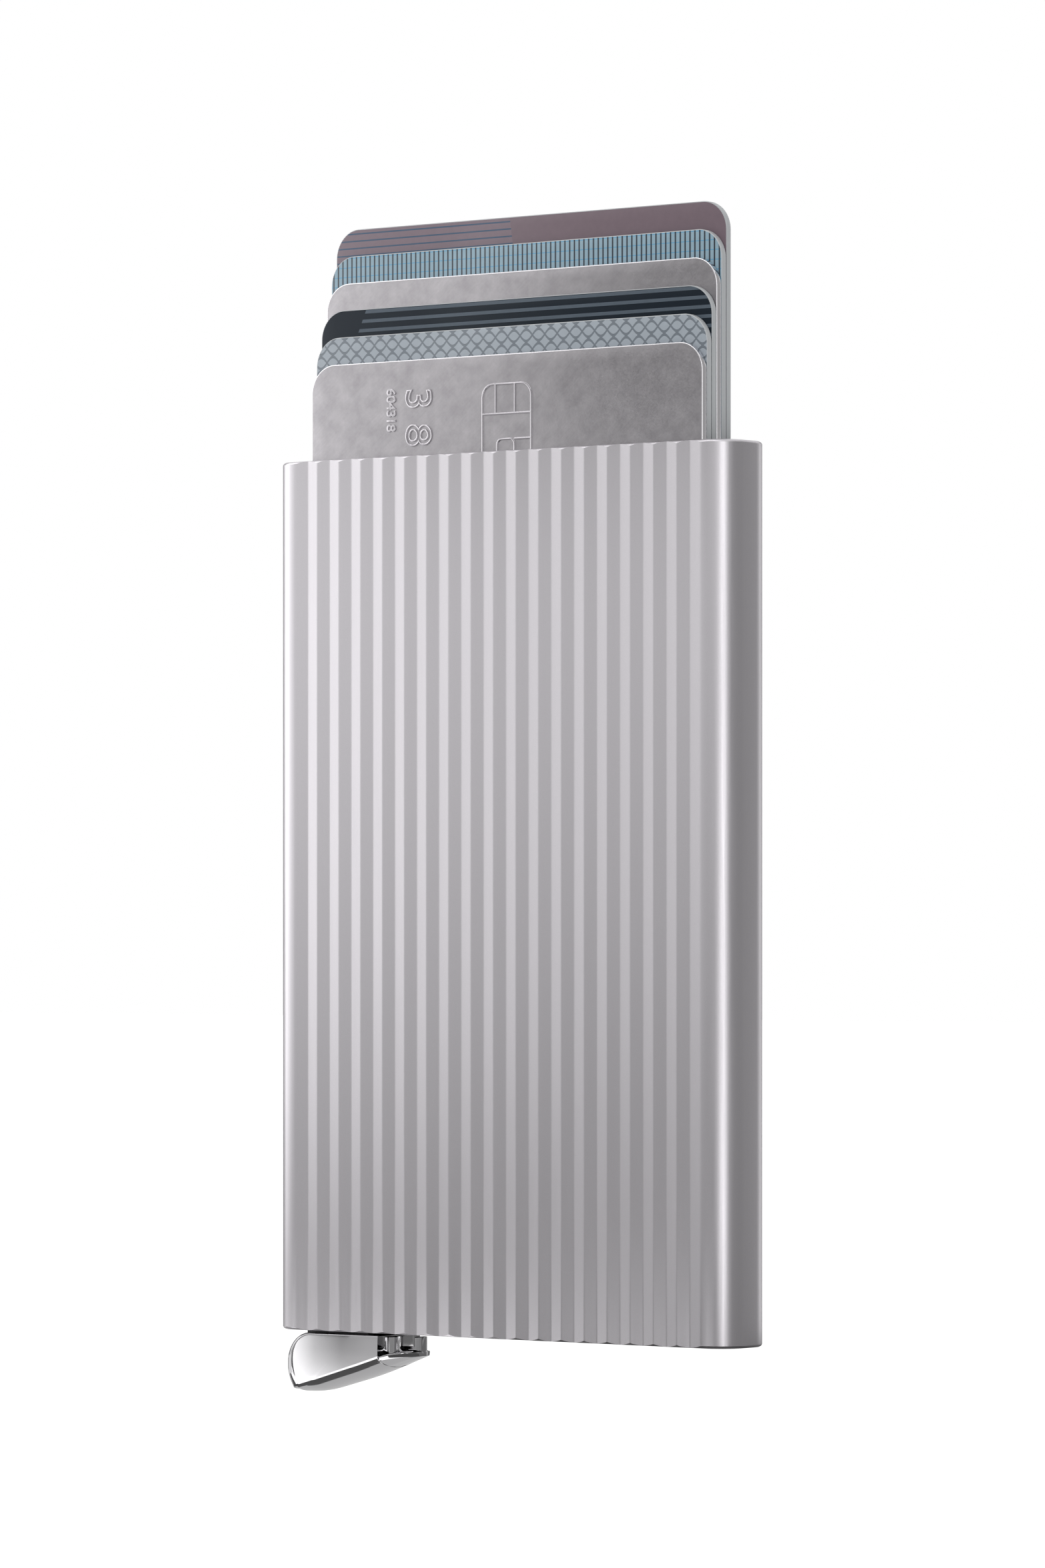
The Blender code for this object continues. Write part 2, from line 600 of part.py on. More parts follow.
def make_guide_rail(side, name, parts, tools, material):
    top = TUBE_HEIGHT - RAIL_TOP_DEPTH
    half_length = (top - RAIL_BOTTOM) / 2
    frame = Matrix.Translation((0, 0, RAIL_BOTTOM + half_length))
    rail = plate(name, [rail_section(side)], half_length, frame, parts)
    foot = plate(name + "_foot", [foot_outline(side)], INSERT_HALF_DEPTH - PIN_GAP, FRONT_VIEW, tools)
    combine(rail, foot, "UNION")
    ends = sorted((side * (RAIL_FACE - CUT_OVERRUN), side * (RAIL_FACE + POCKET_DEPTH)))
    low = (ends[0], -POCKET_HALF_DEPTH, POCKET_LOW)
    high = (ends[1], POCKET_HALF_DEPTH, POCKET_LOW + POCKET_LENGTH)
    combine(rail, box(name + "_pocket", low, high, Matrix.Identity(4), tools), "DIFFERENCE")
    return finish(rail, material)


def make_friction_pad(side, name, parts, material):
    """A soft strip that bears on the cards' edges and keeps them where they are."""
    face = RAIL_FACE - PAD_PROUD
    half_thickness = PAD_THICKNESS / 2
    half_length = POCKET_LENGTH / 2 - PAD_END_GAP
    outline = rounded_rectangle(half_thickness, half_length, half_thickness / 2)
    place = (side * (face + half_thickness), 0, POCKET_LOW + POCKET_LENGTH / 2)
    frame = Matrix.Translation(place) @ FRONT_VIEW
    return finish(plate(name, [outline], POCKET_HALF_DEPTH - FIT_GAP, frame, parts), material)


def make_clamp_spring(side, name, parts, material):
    """A bowed leaf between the pocket's floor and the back of the pad."""
    crown = RAIL_FACE - PAD_PROUD + PAD_THICKNESS + FIT_GAP
    floor = RAIL_FACE + POCKET_DEPTH - FIT_GAP
    bow = floor - crown - LEAF_THICKNESS
    half_length = POCKET_LENGTH / 2 - LEAF_END_GAP
    near = []
    far = []
    for step in range(LEAF_STEPS + 1):
        share = 2 * step / LEAF_STEPS - 1
        x = crown + bow * share ** 2
        near.append(Vector((side * x, share * half_length)))
        far.append(Vector((side * (x + LEAF_THICKNESS), share * half_length)))
    frame = Matrix.Translation((0, 0, POCKET_LOW + POCKET_LENGTH / 2)) @ FRONT_VIEW
    leaf = plate(name, [near + far[::-1]], POCKET_HALF_DEPTH - 2 * FIT_GAP, frame, parts)
    return finish(leaf, material)


def make_card(index, parts, material):
    """A card raised by its lift, with its origin on its own sliding axis."""
    bottom = LOWERED_CARD_BOTTOM + card_lift(index)
    outline = rounded_rectangle(CARD_WIDTH / 2, CARD_HEIGHT / 2, CARD_CORNER_RADIUS)
    place = (0, card_depth(index), bottom + CARD_HEIGHT / 2)
    frame = Matrix.Translation(place) @ FRONT_VIEW
    name = "card_" + str(index + 1)
    return finish(plate(name, [outline], CARD_THICKNESS / 2, frame, parts), material)


def main():
    for old in list(bpy.data.objects):
        bpy.data.objects.remove(old)
    parts = new_collection("pop_up_card_holder")
    tools = new_collection("cutters")
    tube_finish = new_material("anodised_aluminium", (0.50, 0.48, 0.51), 0.9, 0.38)
    plug_finish = new_material("moulded_nylon", (0.03, 0.03, 0.03), 0, 0.5)
    lever_finish = new_material("polished_zinc", (0.75, 0.75, 0.77), 1, 0.08)
    lifter_finish = new_material("moulded_acetal", (0.05, 0.05, 0.055), 0, 0.4)
    pin_finish = new_material("ground_steel", (0.55, 0.56, 0.58), 1, 0.25)
    rail_finish = new_material("moulded_abs", (0.04, 0.04, 0.045), 0, 0.45)
    pad_finish = new_material("silicone_rubber", (0.09, 0.09, 0.09), 0, 0.8)
    leaf_finish = new_material("spring_steel", (0.45, 0.46, 0.48), 1, 0.3)
    card_colours = (
        (0.40, 0.40, 0.42),
        (0.30, 0.37, 0.40),
        (0.005, 0.012, 0.022),
        (0.42, 0.42, 0.44),
        (0.28, 0.41, 0.49),
        (0.18, 0.14, 0.16),
    )

    make_tube(parts, tools, tube_finish)
    make_bottom_plug(parts, tools, plug_finish)
    hinge = axis_empty("lever_axis", PIVOT, parts)
    hang_on(make_thumb_lever(parts, tools, lever_finish), hinge)
    hang_on(make_lifter(parts, tools, lifter_finish), hinge)
    for pin in make_pins(parts, pin_finish):
        hang_on(pin, hinge)
    for side, word in ((-1, "left"), (1, "right")):
        make_guide_rail(side, "guide_rail_" + word, parts, tools, rail_finish)
        make_friction_pad(side, "friction_pad_" + word, parts, pad_finish)
        make_clamp_spring(side, "clamp_spring_" + word, parts, leaf_finish)
    for index, colour in enumerate(card_colours):
        card_finish = new_material("card_" + str(index + 1) + "_laminate", colour, 0.2, 0.35)
        make_card(index, parts, card_finish)


main()
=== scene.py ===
"""Pop up card holder: the dressed model, its plain pale floor, its soft studio light and its camera."""
import math

import bmesh
import bpy
from mathutils import Matrix, Vector


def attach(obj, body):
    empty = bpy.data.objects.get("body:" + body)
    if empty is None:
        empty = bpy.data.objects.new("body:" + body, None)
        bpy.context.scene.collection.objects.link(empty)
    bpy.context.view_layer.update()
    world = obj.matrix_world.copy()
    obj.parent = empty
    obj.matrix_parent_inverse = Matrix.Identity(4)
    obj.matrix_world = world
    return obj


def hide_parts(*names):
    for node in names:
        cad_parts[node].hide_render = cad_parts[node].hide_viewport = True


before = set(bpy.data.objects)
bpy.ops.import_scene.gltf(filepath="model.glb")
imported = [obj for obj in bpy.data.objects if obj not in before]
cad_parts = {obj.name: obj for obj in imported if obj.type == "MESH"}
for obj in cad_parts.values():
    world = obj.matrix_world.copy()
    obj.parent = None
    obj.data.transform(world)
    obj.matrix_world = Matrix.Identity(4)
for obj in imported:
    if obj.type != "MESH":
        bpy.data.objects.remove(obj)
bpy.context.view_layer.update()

# Lengths are in millimetres; meshes, lamps and the camera get them times this
MM = 0.001
WELD = 0.0001
CREASE = 35

# Tube: pleated aluminium extrusion
TUBE_HALF_WIDTH = 31.5
TUBE_HALF_DEPTH = 4.2
TUBE_HEIGHT = 96.0
TUBE_CORNER = 3.3
TUBE_WALL = 1.2
PLEAT_PITCH = 3.1
PLEAT_DEPTH = 0.27
PLEATED_HALF_WIDTH = 27.9
FOLD_ROUNDING = 0.1
FOLD_SHARES = (0, 0.035, 0.07, 0.16, 0.3, 0.5, 0.7, 0.84, 0.93, 0.965)
RIM_RADIUS = 0.42
RIM_MARGIN = 0.02
BORE_EDGE = 0.15
CORNER_STEPS = 14
RIM_STEPS = 6
TUBE_CREASE = 15

# Cards
CARD_WIDTH = 53.98
CARD_HEIGHT = 85.6
CARD_THICKNESS = 0.76
CARD_CORNER = 3.18
CARD_PITCH = 0.86
FRONT_CARD_FACE = -2.53
FIRST_CARD_TOP = 106.6
CARD_STEP = 3.06
CARD_CORNER_STEPS = 16
CARD_EDGE_STEPS = 3
METAL_EDGE = 0.13
PLASTIC_EDGE = 0.09

# Lever: its places are along X and Z of the whole object
LEVER_LEFT = -30.4
LEVER_TOP = -0.25
LEVER_BOTTOM = -6.97
FACET_CENTRE = Vector((-22.6, -2.7))
FACET_DOME = 0.07
FACET_DOME_REACH = Vector((4.0, 2.6))
LEVER_HALF = 3.9
FACET_EDGE_Y = 3.76
SKIN_DEPTHS = (
    0, 0.7, 1.3, 1.8, 2.2, 2.5, 2.8, 3.05, 3.25, 3.4, 3.5, 3.58, 3.64, 3.69, 3.72, 3.745, FACET_EDGE_Y
)
FACET_SCALES = (0.975, 0.93, 0.86, 0.77, 0.65, 0.5, 0.35, 0.2, 0.08)
KEEL_BEND = Vector((-19.504, -4.962))
KEEL_SLOPE = 0.3736
KEEL_CROWN_RADIUS = 6.13
KEEL_EDGE = 0.55
STEP_X = -16.6
TONGUE_END_X = -12.95
TONGUE_HALF = 1.3
TONGUE_TOP = -0.4
BOW_HALF = 3.45
BOW_EDGE = 0.5
BOW_CROWN = 0.749
BOW_FULLNESS = 0.65
BOW_FULL_SIZE = 1.6
BOW_LEDGE_RISE = 0.22
UPRIGHT_SHARE = 0.85
TONGUE_TAPER = 0.15
TONGUE_FLARE = 0.3
FLARE_REACH = 0.55
TONGUE_NARROWING = 0.5
NOTCH_LEFT = -15.35
NOTCH_RIGHT = -13.6
NOTCH_FLOOR = -1.75
NOTCH_RIM = 0.42
NOTCH_CORNER = 0.35
NOTCH_STEPS = 6
HOLLOW_HALF = 2.75
SLOT_HALF = 1.5
BORE_HALF = 3.4
BORE_SIDES = 24
HINGE_PLACE = (-27.0, -3.7)
HINGE_BORE = 0.9
PIN_PLACE = (-20.9, -2.2)
PIN_BORE = 0.6
LEVER_CREASE = 28

# Studio: greys and radiances are relative to the white background
FLOOR_Z = -11.4
FLOOR_HALF_SIZE = 3000
FLAG_PARTS = 8
LAMP_TARGET = 50
FLAG_Z = -12
DIM = 0.2
CAMERA_PLACE = (462.7, -586.4, 43.69)
CAMERA_TURN = 0.6672645
CAMERA_LENS = 158.01
CAMERA_SHIFT = 0.09616
SENSOR_HEIGHT = 36

# Map Range sockets 1 and 2: nearly all of a noise lies between these values
NOISE_SPAN = {1: 0.3, 2: 0.7}


def linear(colour):
    """An sRGB hex colour as the linear values that a shader takes."""
    values = []
    for place in (1, 3, 5):
        share = int(colour[place:place + 2], 16) / 255
        values.append(share / 12.92 if share <= 0.04045 else ((share + 0.055) / 1.055) ** 2.4)
    return (*values, 1)


def add(tree, kind, inputs=None, output=0, **settings):
    """Adds a node, gives it its settings, values and links, and returns one of its outputs."""
    node = tree.nodes.new(kind)
    for setting, value in settings.items():
        setattr(node, setting, value)
    for socket, value in (inputs or {}).items():
        if isinstance(value, bpy.types.NodeSocket):
            tree.links.new(value, node.inputs[socket])
        else:
            node.inputs[socket].default_value = value
    return node.outputs[output]


def new_material(name, colour, **values):
    """A Principled material with the given values on the shader's own sockets."""
    material = bpy.data.materials.new(name)
    material.use_nodes = True
    shader = material.node_tree.nodes["Principled BSDF"]
    shader.inputs["Base Color"].default_value = linear(colour)
    for socket, value in values.items():
        shader.inputs[socket.replace("_", " ")].default_value = value
    return material, material.node_tree, shader


def link(tree, source, target):
    """Joins one node's output to another's input."""
    tree.links.new(source, target)


def place_in_mm(tree):
    """The surface's place on the object, in millimetres."""
    place = add(tree, "ShaderNodeTexCoord", output="Object")
    return add(tree, "ShaderNodeVectorMath", {0: place, 1: (1 / MM, 1 / MM, 1 / MM)}, operation="MULTIPLY")


def line_pattern(tree, along, pitch, width):
    """1 on lines of the given pitch and width along one coordinate, in millimetres, 0 between them."""
    nearest = add(tree, "ShaderNodeMath", {0: along, 1: pitch / 2}, operation="PINGPONG")
    return add(tree, "ShaderNodeMath", {0: nearest, 1: width / 2}, operation="LESS_THAN")


def satin_anodised_aluminium():
    """Blasted and anodised: a soft lilac grey metal sheen with a fine sandy grain."""
    material, tree, shader = new_material("satin_anodised_aluminium", "#CAC7CB", Metallic=1.0)
    place = place_in_mm(tree)
    grain = add(tree, "ShaderNodeTexNoise", {"Vector": place, "Scale": 9.0, "Detail": 2.0})
    drawn = add(tree, "ShaderNodeVectorMath", {0: place, 1: (6.0, 6.0, 0.08)}, operation="MULTIPLY")
    streak = add(tree, "ShaderNodeTexNoise", {"Vector": drawn, "Scale": 1.0, "Detail": 2.0})
    tints = {0: grain, 6: linear("#C6C3C7"), 7: linear("#CECBCF")}
    link(tree, add(tree, "ShaderNodeMix", tints, output=2, data_type="RGBA"), shader.inputs["Base Color"])
    rough = add(tree, "ShaderNodeMapRange", {0: streak, **NOISE_SPAN, 3: 0.33, 4: 0.4})
    link(tree, rough, shader.inputs["Roughness"])
    bump = add(tree, "ShaderNodeBump", {"Height": grain, "Strength": 0.12, "Distance": 0.02 * MM})
    link(tree, bump, shader.inputs["Normal"])
    return material


def chromed_zinc():
    """Die cast, mirror polished and chromed: clean dark and white reflections, faintly uneven."""
    material, tree, shader = new_material("chromed_zinc", "#C8C7C9", Metallic=1.0)
    swirl = add(tree, "ShaderNodeTexNoise", {"Vector": place_in_mm(tree), "Scale": 0.8, "Detail": 2.0})
    rough = add(tree, "ShaderNodeMapRange", {0: swirl, **NOISE_SPAN, 3: 0.05, 4: 0.09})
    link(tree, rough, shader.inputs["Roughness"])
    bump = add(tree, "ShaderNodeBump", {"Height": swirl, "Strength": 0.02, "Distance": 0.02 * MM})
    link(tree, bump, shader.inputs["Normal"])
    return material


def moulded_plastic(name, colour, roughness, ior):
    """Injection moulded: a dark, fine spark-eroded grain that breaks up the gloss."""
    material, tree, shader = new_material(name, colour, Roughness=roughness, IOR=ior)
    grain = add(tree, "ShaderNodeTexNoise", {"Vector": place_in_mm(tree), "Scale": 7.0, "Detail": 3.0})
    tone = add(tree, "ShaderNodeMapRange", {0: grain, **NOISE_SPAN, 3: 0.9, 4: 1.1})
    tint = add(tree, "ShaderNodeHueSaturation", {"Value": tone, "Color": linear(colour)})
    link(tree, tint, shader.inputs["Base Color"])
    bump = add(tree, "ShaderNodeBump", {"Height": grain, "Strength": 0.2, "Distance": 0.03 * MM})
    link(tree, bump, shader.inputs["Normal"])
    return material


def worked_steel(name, colour, roughness, grain_scale):
    """Ground or rolled steel: fine lines along the working direction, a clear metal shine."""
    material, tree, shader = new_material(name, colour, Metallic=1.0)
    drawn = add(tree, "ShaderNodeVectorMath", {0: place_in_mm(tree), 1: grain_scale}, operation="MULTIPLY")
    lines = add(tree, "ShaderNodeTexNoise", {"Vector": drawn, "Scale": 1.0, "Detail": 2.0})
    uneven = {0: lines, **NOISE_SPAN, 3: roughness * 0.85, 4: roughness * 1.15}
    link(tree, add(tree, "ShaderNodeMapRange", uneven), shader.inputs["Roughness"])
    bump = add(tree, "ShaderNodeBump", {"Height": lines, "Strength": 0.1, "Distance": 0.01 * MM})
    link(tree, bump, shader.inputs["Normal"])
    return material


def cast_metal_card():
    """A cast and tumbled metal card: mottled grey, pitted and lightly scratched, with a satin shine."""
    material, tree, shader = new_material("cast_metal_card", "#A9A6A9", Metallic=1.0)
    place = place_in_mm(tree)
    cloud = add(tree, "ShaderNodeTexNoise", {"Vector": place, "Scale": 0.5, "Detail": 5.0, "Roughness": 0.65})
    grain = add(tree, "ShaderNodeTexNoise", {"Vector": place, "Scale": 4.5, "Detail": 4.0, "Roughness": 0.7})
    slanted = {"Vector": place, "Angle": math.radians(38)}
    slant = add(tree, "ShaderNodeVectorRotate", slanted, rotation_type="Y_AXIS")
    drawn = add(tree, "ShaderNodeVectorMath", {0: slant, 1: (0.3, 1.0, 6.0)}, operation="MULTIPLY")
    scratches = {"Vector": drawn, "Scale": 1.0, "Detail": 3.0, "Roughness": 0.7}
    scratch = add(tree, "ShaderNodeTexNoise", scratches)
    mottled = {0: cloud, 6: linear("#8F8C90"), 7: linear("#C0BDC0")}
    tint = add(tree, "ShaderNodeMix", mottled, output=2, data_type="RGBA")
    shade = add(tree, "ShaderNodeMapRange", {0: scratch, 1: 0.35, 2: 0.7, 3: 0.97, 4: 1.03})
    toned = add(tree, "ShaderNodeHueSaturation", {"Value": shade, "Color": tint})
    link(tree, toned, shader.inputs["Base Color"])
    rough = add(tree, "ShaderNodeMapRange", {0: grain, **NOISE_SPAN, 3: 0.28, 4: 0.42})
    link(tree, rough, shader.inputs["Roughness"])
    relief = add(tree, "ShaderNodeMath", {0: scratch, 1: 0.35, 2: grain}, operation="MULTIPLY_ADD")
    bump = add(tree, "ShaderNodeBump", {"Height": relief, "Strength": 0.25, "Distance": 0.04 * MM})
    link(tree, bump, shader.inputs["Normal"])
    return material


def laminated_card(name, colour, print_colour, gloss):
    """A printed PVC card under a clear laminate, with a soft gloss; the print is drawn by a function."""
    material, tree, shader = new_material(
        name, colour, Roughness=0.42, IOR=1.54, Specular_IOR_Level=gloss, Coat_Weight=gloss,
        Coat_Roughness=0.16, Coat_IOR=1.5
    )
    place = place_in_mm(tree)
    x = add(tree, "ShaderNodeSeparateXYZ", {0: place}, output="X")
    z = add(tree, "ShaderNodeSeparateXYZ", {0: place}, output="Z")
    fleck = add(tree, "ShaderNodeTexNoise", {"Vector": place, "Scale": 1.3, "Detail": 3.0})
    tone = add(tree, "ShaderNodeMapRange", {0: fleck, **NOISE_SPAN, 3: 0.97, 4: 1.03})
    printed = print_colour(tree, x, z, linear(colour))
    toned = add(tree, "ShaderNodeHueSaturation", {"Value": tone, "Color": printed})
    link(tree, toned, shader.inputs["Base Color"])
    ripple = add(tree, "ShaderNodeTexNoise", {"Vector": place, "Scale": 0.35, "Detail": 2.0})
    bump = add(tree, "ShaderNodeBump", {"Height": ripple, "Strength": 0.03, "Distance": 0.05 * MM})
    link(tree, bump, shader.inputs["Normal"])
    return material


def interlaced_waves(tree, x, z, ground):
    """Rows of crossing sine lines with a dot in each eye, as a common security print has."""
    length = 3.4
    pitch = 1.55
    swing = 0.62
    phase = add(tree, "ShaderNodeMath", {0: x, 1: 2 * math.pi / length}, operation="MULTIPLY")
    sine = add(tree, "ShaderNodeMath", {0: phase}, operation="SINE")
    wave = add(tree, "ShaderNodeMath", {0: sine, 1: swing}, operation="MULTIPLY")
    lines = []
    for sign in ("ADD", "SUBTRACT"):
        height = add(tree, "ShaderNodeMath", {0: z, 1: wave}, operation=sign)
        lines.append(line_pattern(tree, height, pitch, width=0.3))
    either = add(tree, "ShaderNodeMath", {0: lines[0], 1: lines[1]}, operation="MAXIMUM")
    across = add(tree, "ShaderNodeMath", {0: x, 1: length / 4}, operation="PINGPONG")
    sunk = add(tree, "ShaderNodeMath", {0: z, 1: pitch / 2}, operation="ADD")
    up = add(tree, "ShaderNodeMath", {0: sunk, 1: pitch / 2}, operation="PINGPONG")
    centred = add(tree, "ShaderNodeMath", {0: length / 4, 1: across}, operation="SUBTRACT")
    offset = add(tree, "ShaderNodeCombineXYZ", {0: centred, 1: up})
    away = add(tree, "ShaderNodeVectorMath", {0: offset}, output="Value", operation="LENGTH")
    dots = add(tree, "ShaderNodeMath", {0: away, 1: 0.2}, operation="LESS_THAN")
    drawn = add(tree, "ShaderNodeMath", {0: either, 1: dots}, operation="MAXIMUM")
    tints = {0: drawn, 6: ground, 7: linear("#6E7780")}
    return add(tree, "ShaderNodeMix", tints, output=2, data_type="RGBA")


def card_top(index):
    """The height of a card's top edge, with the front card as 0."""
    return FIRST_CARD_TOP + CARD_STEP * index


def slanted_side(tree, x, z, slope, place, operation):
    """1 on one side of a slanted line across a card, where x + slope * z + place passes 0."""
    slanted = add(tree, "ShaderNodeMath", {0: z, 1: slope, 2: place}, operation="MULTIPLY_ADD")
    edge = add(tree, "ShaderNodeMath", {0: x, 1: slanted}, operation="ADD")
    return add(tree, "ShaderNodeMath", {0: edge, 1: 0.0}, operation=operation)


def grey_bands(tree, x, z, ground):
    """Grey bands on navy, which start at a slanted edge near the left."""
    top_band = card_top(2) - 0.33
    shifted = add(tree, "ShaderNodeMath", {0: z, 1: top_band}, operation="SUBTRACT")
    bands = line_pattern(tree, shifted, pitch=1.02, width=0.37)
    right = slanted_side(tree, x, z, slope=-0.457, place=72.05, operation="GREATER_THAN")
    shown = add(tree, "ShaderNodeMath", {0: bands, 1: right}, operation="MULTIPLY")
    tints = {0: shown, 6: ground, 7: linear("#545F6A")}
    return add(tree, "ShaderNodeMix", tints, output=2, data_type="RGBA")


def pinstripes(tree, x, z, ground):
    """Dark upright pinstripes over fine light blue rules."""
    stripes = line_pattern(tree, x, pitch=0.65, width=0.2)
    rules = line_pattern(tree, z, pitch=1.05, width=0.1)
    light = {0: rules, 6: ground, 7: linear("#5FA0C4")}
    ruled = add(tree, "ShaderNodeMix", light, output=2, data_type="RGBA")
    dark = {0: stripes, 6: ruled, 7: linear("#172633")}
    return add(tree, "ShaderNodeMix", dark, output=2, data_type="RGBA")


def blue_rules(tree, x, z, ground):
    """Thin blue rules on the left part of a mauve card, cut off on a slant."""
    top_rule = card_top(5) - 0.5
    shifted = add(tree, "ShaderNodeMath", {0: z, 1: top_rule}, operation="SUBTRACT")
    rules = line_pattern(tree, shifted, pitch=0.8, width=0.16)
    left = slanted_side(tree, x, z, slope=0.144, place=-15.11, operation="LESS_THAN")
    shown = add(tree, "ShaderNodeMath", {0: rules, 1: left}, operation="MULTIPLY")
    shaded = {0: left, 6: ground, 7: linear("#7C6C76")}
    tinted = add(tree, "ShaderNodeMix", shaded, output=2, data_type="RGBA")
    ruled = {0: shown, 6: tinted, 7: linear("#34506C")}
    return add(tree, "ShaderNodeMix", ruled, output=2, data_type="RGBA")


def card_core():
    """The pale layered edge of a plastic card, cut and slightly matt."""
    material, tree, shader = new_material("card_core", "#BFC2C4", Roughness=0.5, IOR=1.54)
    y = add(tree, "ShaderNodeSeparateXYZ", {0: place_in_mm(tree)}, output="Y")
    layers = line_pattern(tree, y, pitch=0.2, width=0.05)
    tints = {0: layers, 6: linear("#C4C7C9"), 7: linear("#AEB1B4")}
    link(tree, add(tree, "ShaderNodeMix", tints, output=2, data_type="RGBA"), shader.inputs["Base Color"])
    return material


def new_piece(name, points, faces, materials, face_materials=None, sharp=CREASE):
    """A named mesh from points in millimetres; sharp is the angle above which an edge is crisp."""
    mesh = bpy.data.meshes.new(name)
    mesh.from_pydata([Vector(point) * MM for point in points], [], faces)
    for material in materials:
        mesh.materials.append(material)
    if face_materials:
        mesh.polygons.foreach_set("material_index", face_materials)
    piece = bpy.data.objects.new(name, mesh)
    bpy.context.scene.collection.objects.link(piece)
    tidy_mesh(piece, sharp)
    return piece


def tidy_mesh(piece, sharp=CREASE):
    """Welds a mesh, turns its faces outwards and shades it smooth up to a crease angle."""
    shell = bmesh.new()
    shell.from_mesh(piece.data)
    bmesh.ops.remove_doubles(shell, verts=shell.verts, dist=WELD * MM)
    bmesh.ops.dissolve_degenerate(shell, edges=shell.edges, dist=WELD * MM)
    bmesh.ops.recalc_face_normals(shell, faces=shell.faces)
    shell.to_mesh(piece.data)
    shell.free()
    piece.data.shade_smooth()
    piece.data.set_sharp_from_angle(angle=math.radians(sharp))


def ring_faces(first, second, count):
    """Quads between two rings of points, given by the index of each ring's first point."""
    faces = []
    for step in range(count):
        after = (step + 1) % count
        faces.append((first + step, first + after, second + after, second + step))
    return faces


def lofted(name, rings, materials, sharp=CREASE, edge_material=0):
    """A closed solid through rings of as many points each, with flat ends."""
    count = len(rings[0])
    points = [point for ring in rings for point in ring]
    faces = [tuple(range(count))]
    for loop in range(len(rings) - 1):
        faces += ring_faces(loop * count, (loop + 1) * count, count)
    indexes = [0] + [edge_material] * (len(faces) - 1) + [0]
    faces.append(tuple(range(len(points) - count, len(points))))
    return new_piece(name, points, faces, materials, indexes, sharp)


def combine(piece, tools, operation):
    """Adds solids to a piece or cuts them from it, and removes them."""
    for tool in tools:
        change = piece.modifiers.new(tool.name, "BOOLEAN")
        change.operation = operation
        change.solver = "EXACT"
        change.object = tool
    bpy.context.view_layer.update()
    graph = bpy.context.evaluated_depsgraph_get()
    made = bpy.data.meshes.new_from_object(piece.evaluated_get(graph))
    piece.modifiers.clear()
    piece.data = made
    for tool in tools:
        bpy.data.objects.remove(tool)


def arc(centre, radius, start, end, steps):
    """Points along an arc between two angles in radians, both ends included."""
    points = []
    for step in range(steps + 1):
        angle = start + (end - start) * step / steps
        points.append(Vector((centre[0] + radius * math.cos(angle), centre[1] + radius * math.sin(angle))))
    return points


def rounded_outline(corners, steps):
    """A closed outline through corners of (x, y, radius), with the same number of points at each."""
    points = []
    for index, (x, y, radius) in enumerate(corners):
        corner = Vector((x, y))
        before = (Vector(corners[index - 1][:2]) - corner).normalized()
        after = (Vector(corners[(index + 1) % len(corners)][:2]) - corner).normalized()
        half_angle = before.angle(after) / 2
        centre = corner + (before + after).normalized() * radius / math.sin(half_angle)
        first = corner + before * radius / math.tan(half_angle) - centre
        last = corner + after * radius / math.tan(half_angle) - centre
        start = math.atan2(first.y, first.x)
        points += arc(centre, radius, start, start - first.angle_signed(last), steps)
    return points


def pleat_inset(x):
    """How far the pleated face lies behind the plane of the crests, with slightly rounded folds."""
    if abs(x) >= PLEATED_HALF_WIDTH:
        return 0
    half = PLEAT_PITCH / 2
    from_crest = abs((x + half) % PLEAT_PITCH - half)
    for near in (from_crest, half - from_crest):
        if near < FOLD_ROUNDING:
            bend = (FOLD_ROUNDING ** 2 + near ** 2) / (2 * FOLD_ROUNDING)
            from_crest = bend if near == from_crest else half - bend
            break
    return PLEAT_DEPTH * from_crest / half


def pleat_places():
    """X places of the points along one pleated side, closer together at the folds."""
    half = PLEAT_PITCH / 2
    folds = round(PLEATED_HALF_WIDTH / half)
    edge = TUBE_HALF_WIDTH - TUBE_CORNER
    places = [-edge]
    for fold in range(-folds, folds):
        places += [(fold + share) * half for share in FOLD_SHARES]
    return places + [PLEATED_HALF_WIDTH, edge]


def tube_ring():
    """Once round the tube: for each point its outer place, its bore place and its way outwards."""
    edge = TUBE_HALF_WIDTH - TUBE_CORNER
    rise = TUBE_HALF_DEPTH - TUBE_CORNER
    bore_radius = TUBE_CORNER - TUBE_WALL
    ring = []
    for side in (-1, 1):
        for x in pleat_places()[::-side]:
            outer = Vector((x, side * (TUBE_HALF_DEPTH - pleat_inset(x))))
            ring.append((outer, Vector((x, side * (TUBE_HALF_DEPTH - TUBE_WALL))), Vector((0, side))))
        start = math.radians(90 * side)
        for height, first in ((side * rise, 1), (-side * rise, 0)):
            centre = Vector((-side * edge, height))
            for step in range(first, CORNER_STEPS):
                angle = start + math.radians(90) * step / CORNER_STEPS
                way = Vector((math.cos(angle), math.sin(angle)))
                ring.append((centre + way * TUBE_CORNER, centre + way * bore_radius, way))
            start += math.radians(90)
    return ring


def rim_column(outer, way):
    """The rounded end below one place of the outline: pairs of a height and a place, upwards.

    The rounding belongs to a smooth envelope, so that it meets each pleat in a scallop.
    """
    behind = RIM_MARGIN + (pleat_inset(outer.x) if way.x == 0 else 0)
    first = math.asin(1 - behind / RIM_RADIUS)
    column = []
    for step in range(RIM_STEPS + 1):
        angle = first * step / RIM_STEPS
        inset = RIM_RADIUS * (1 - math.sin(angle)) - behind
        column.append((RIM_RADIUS * (1 - math.cos(angle)), outer - way * inset))
    return column


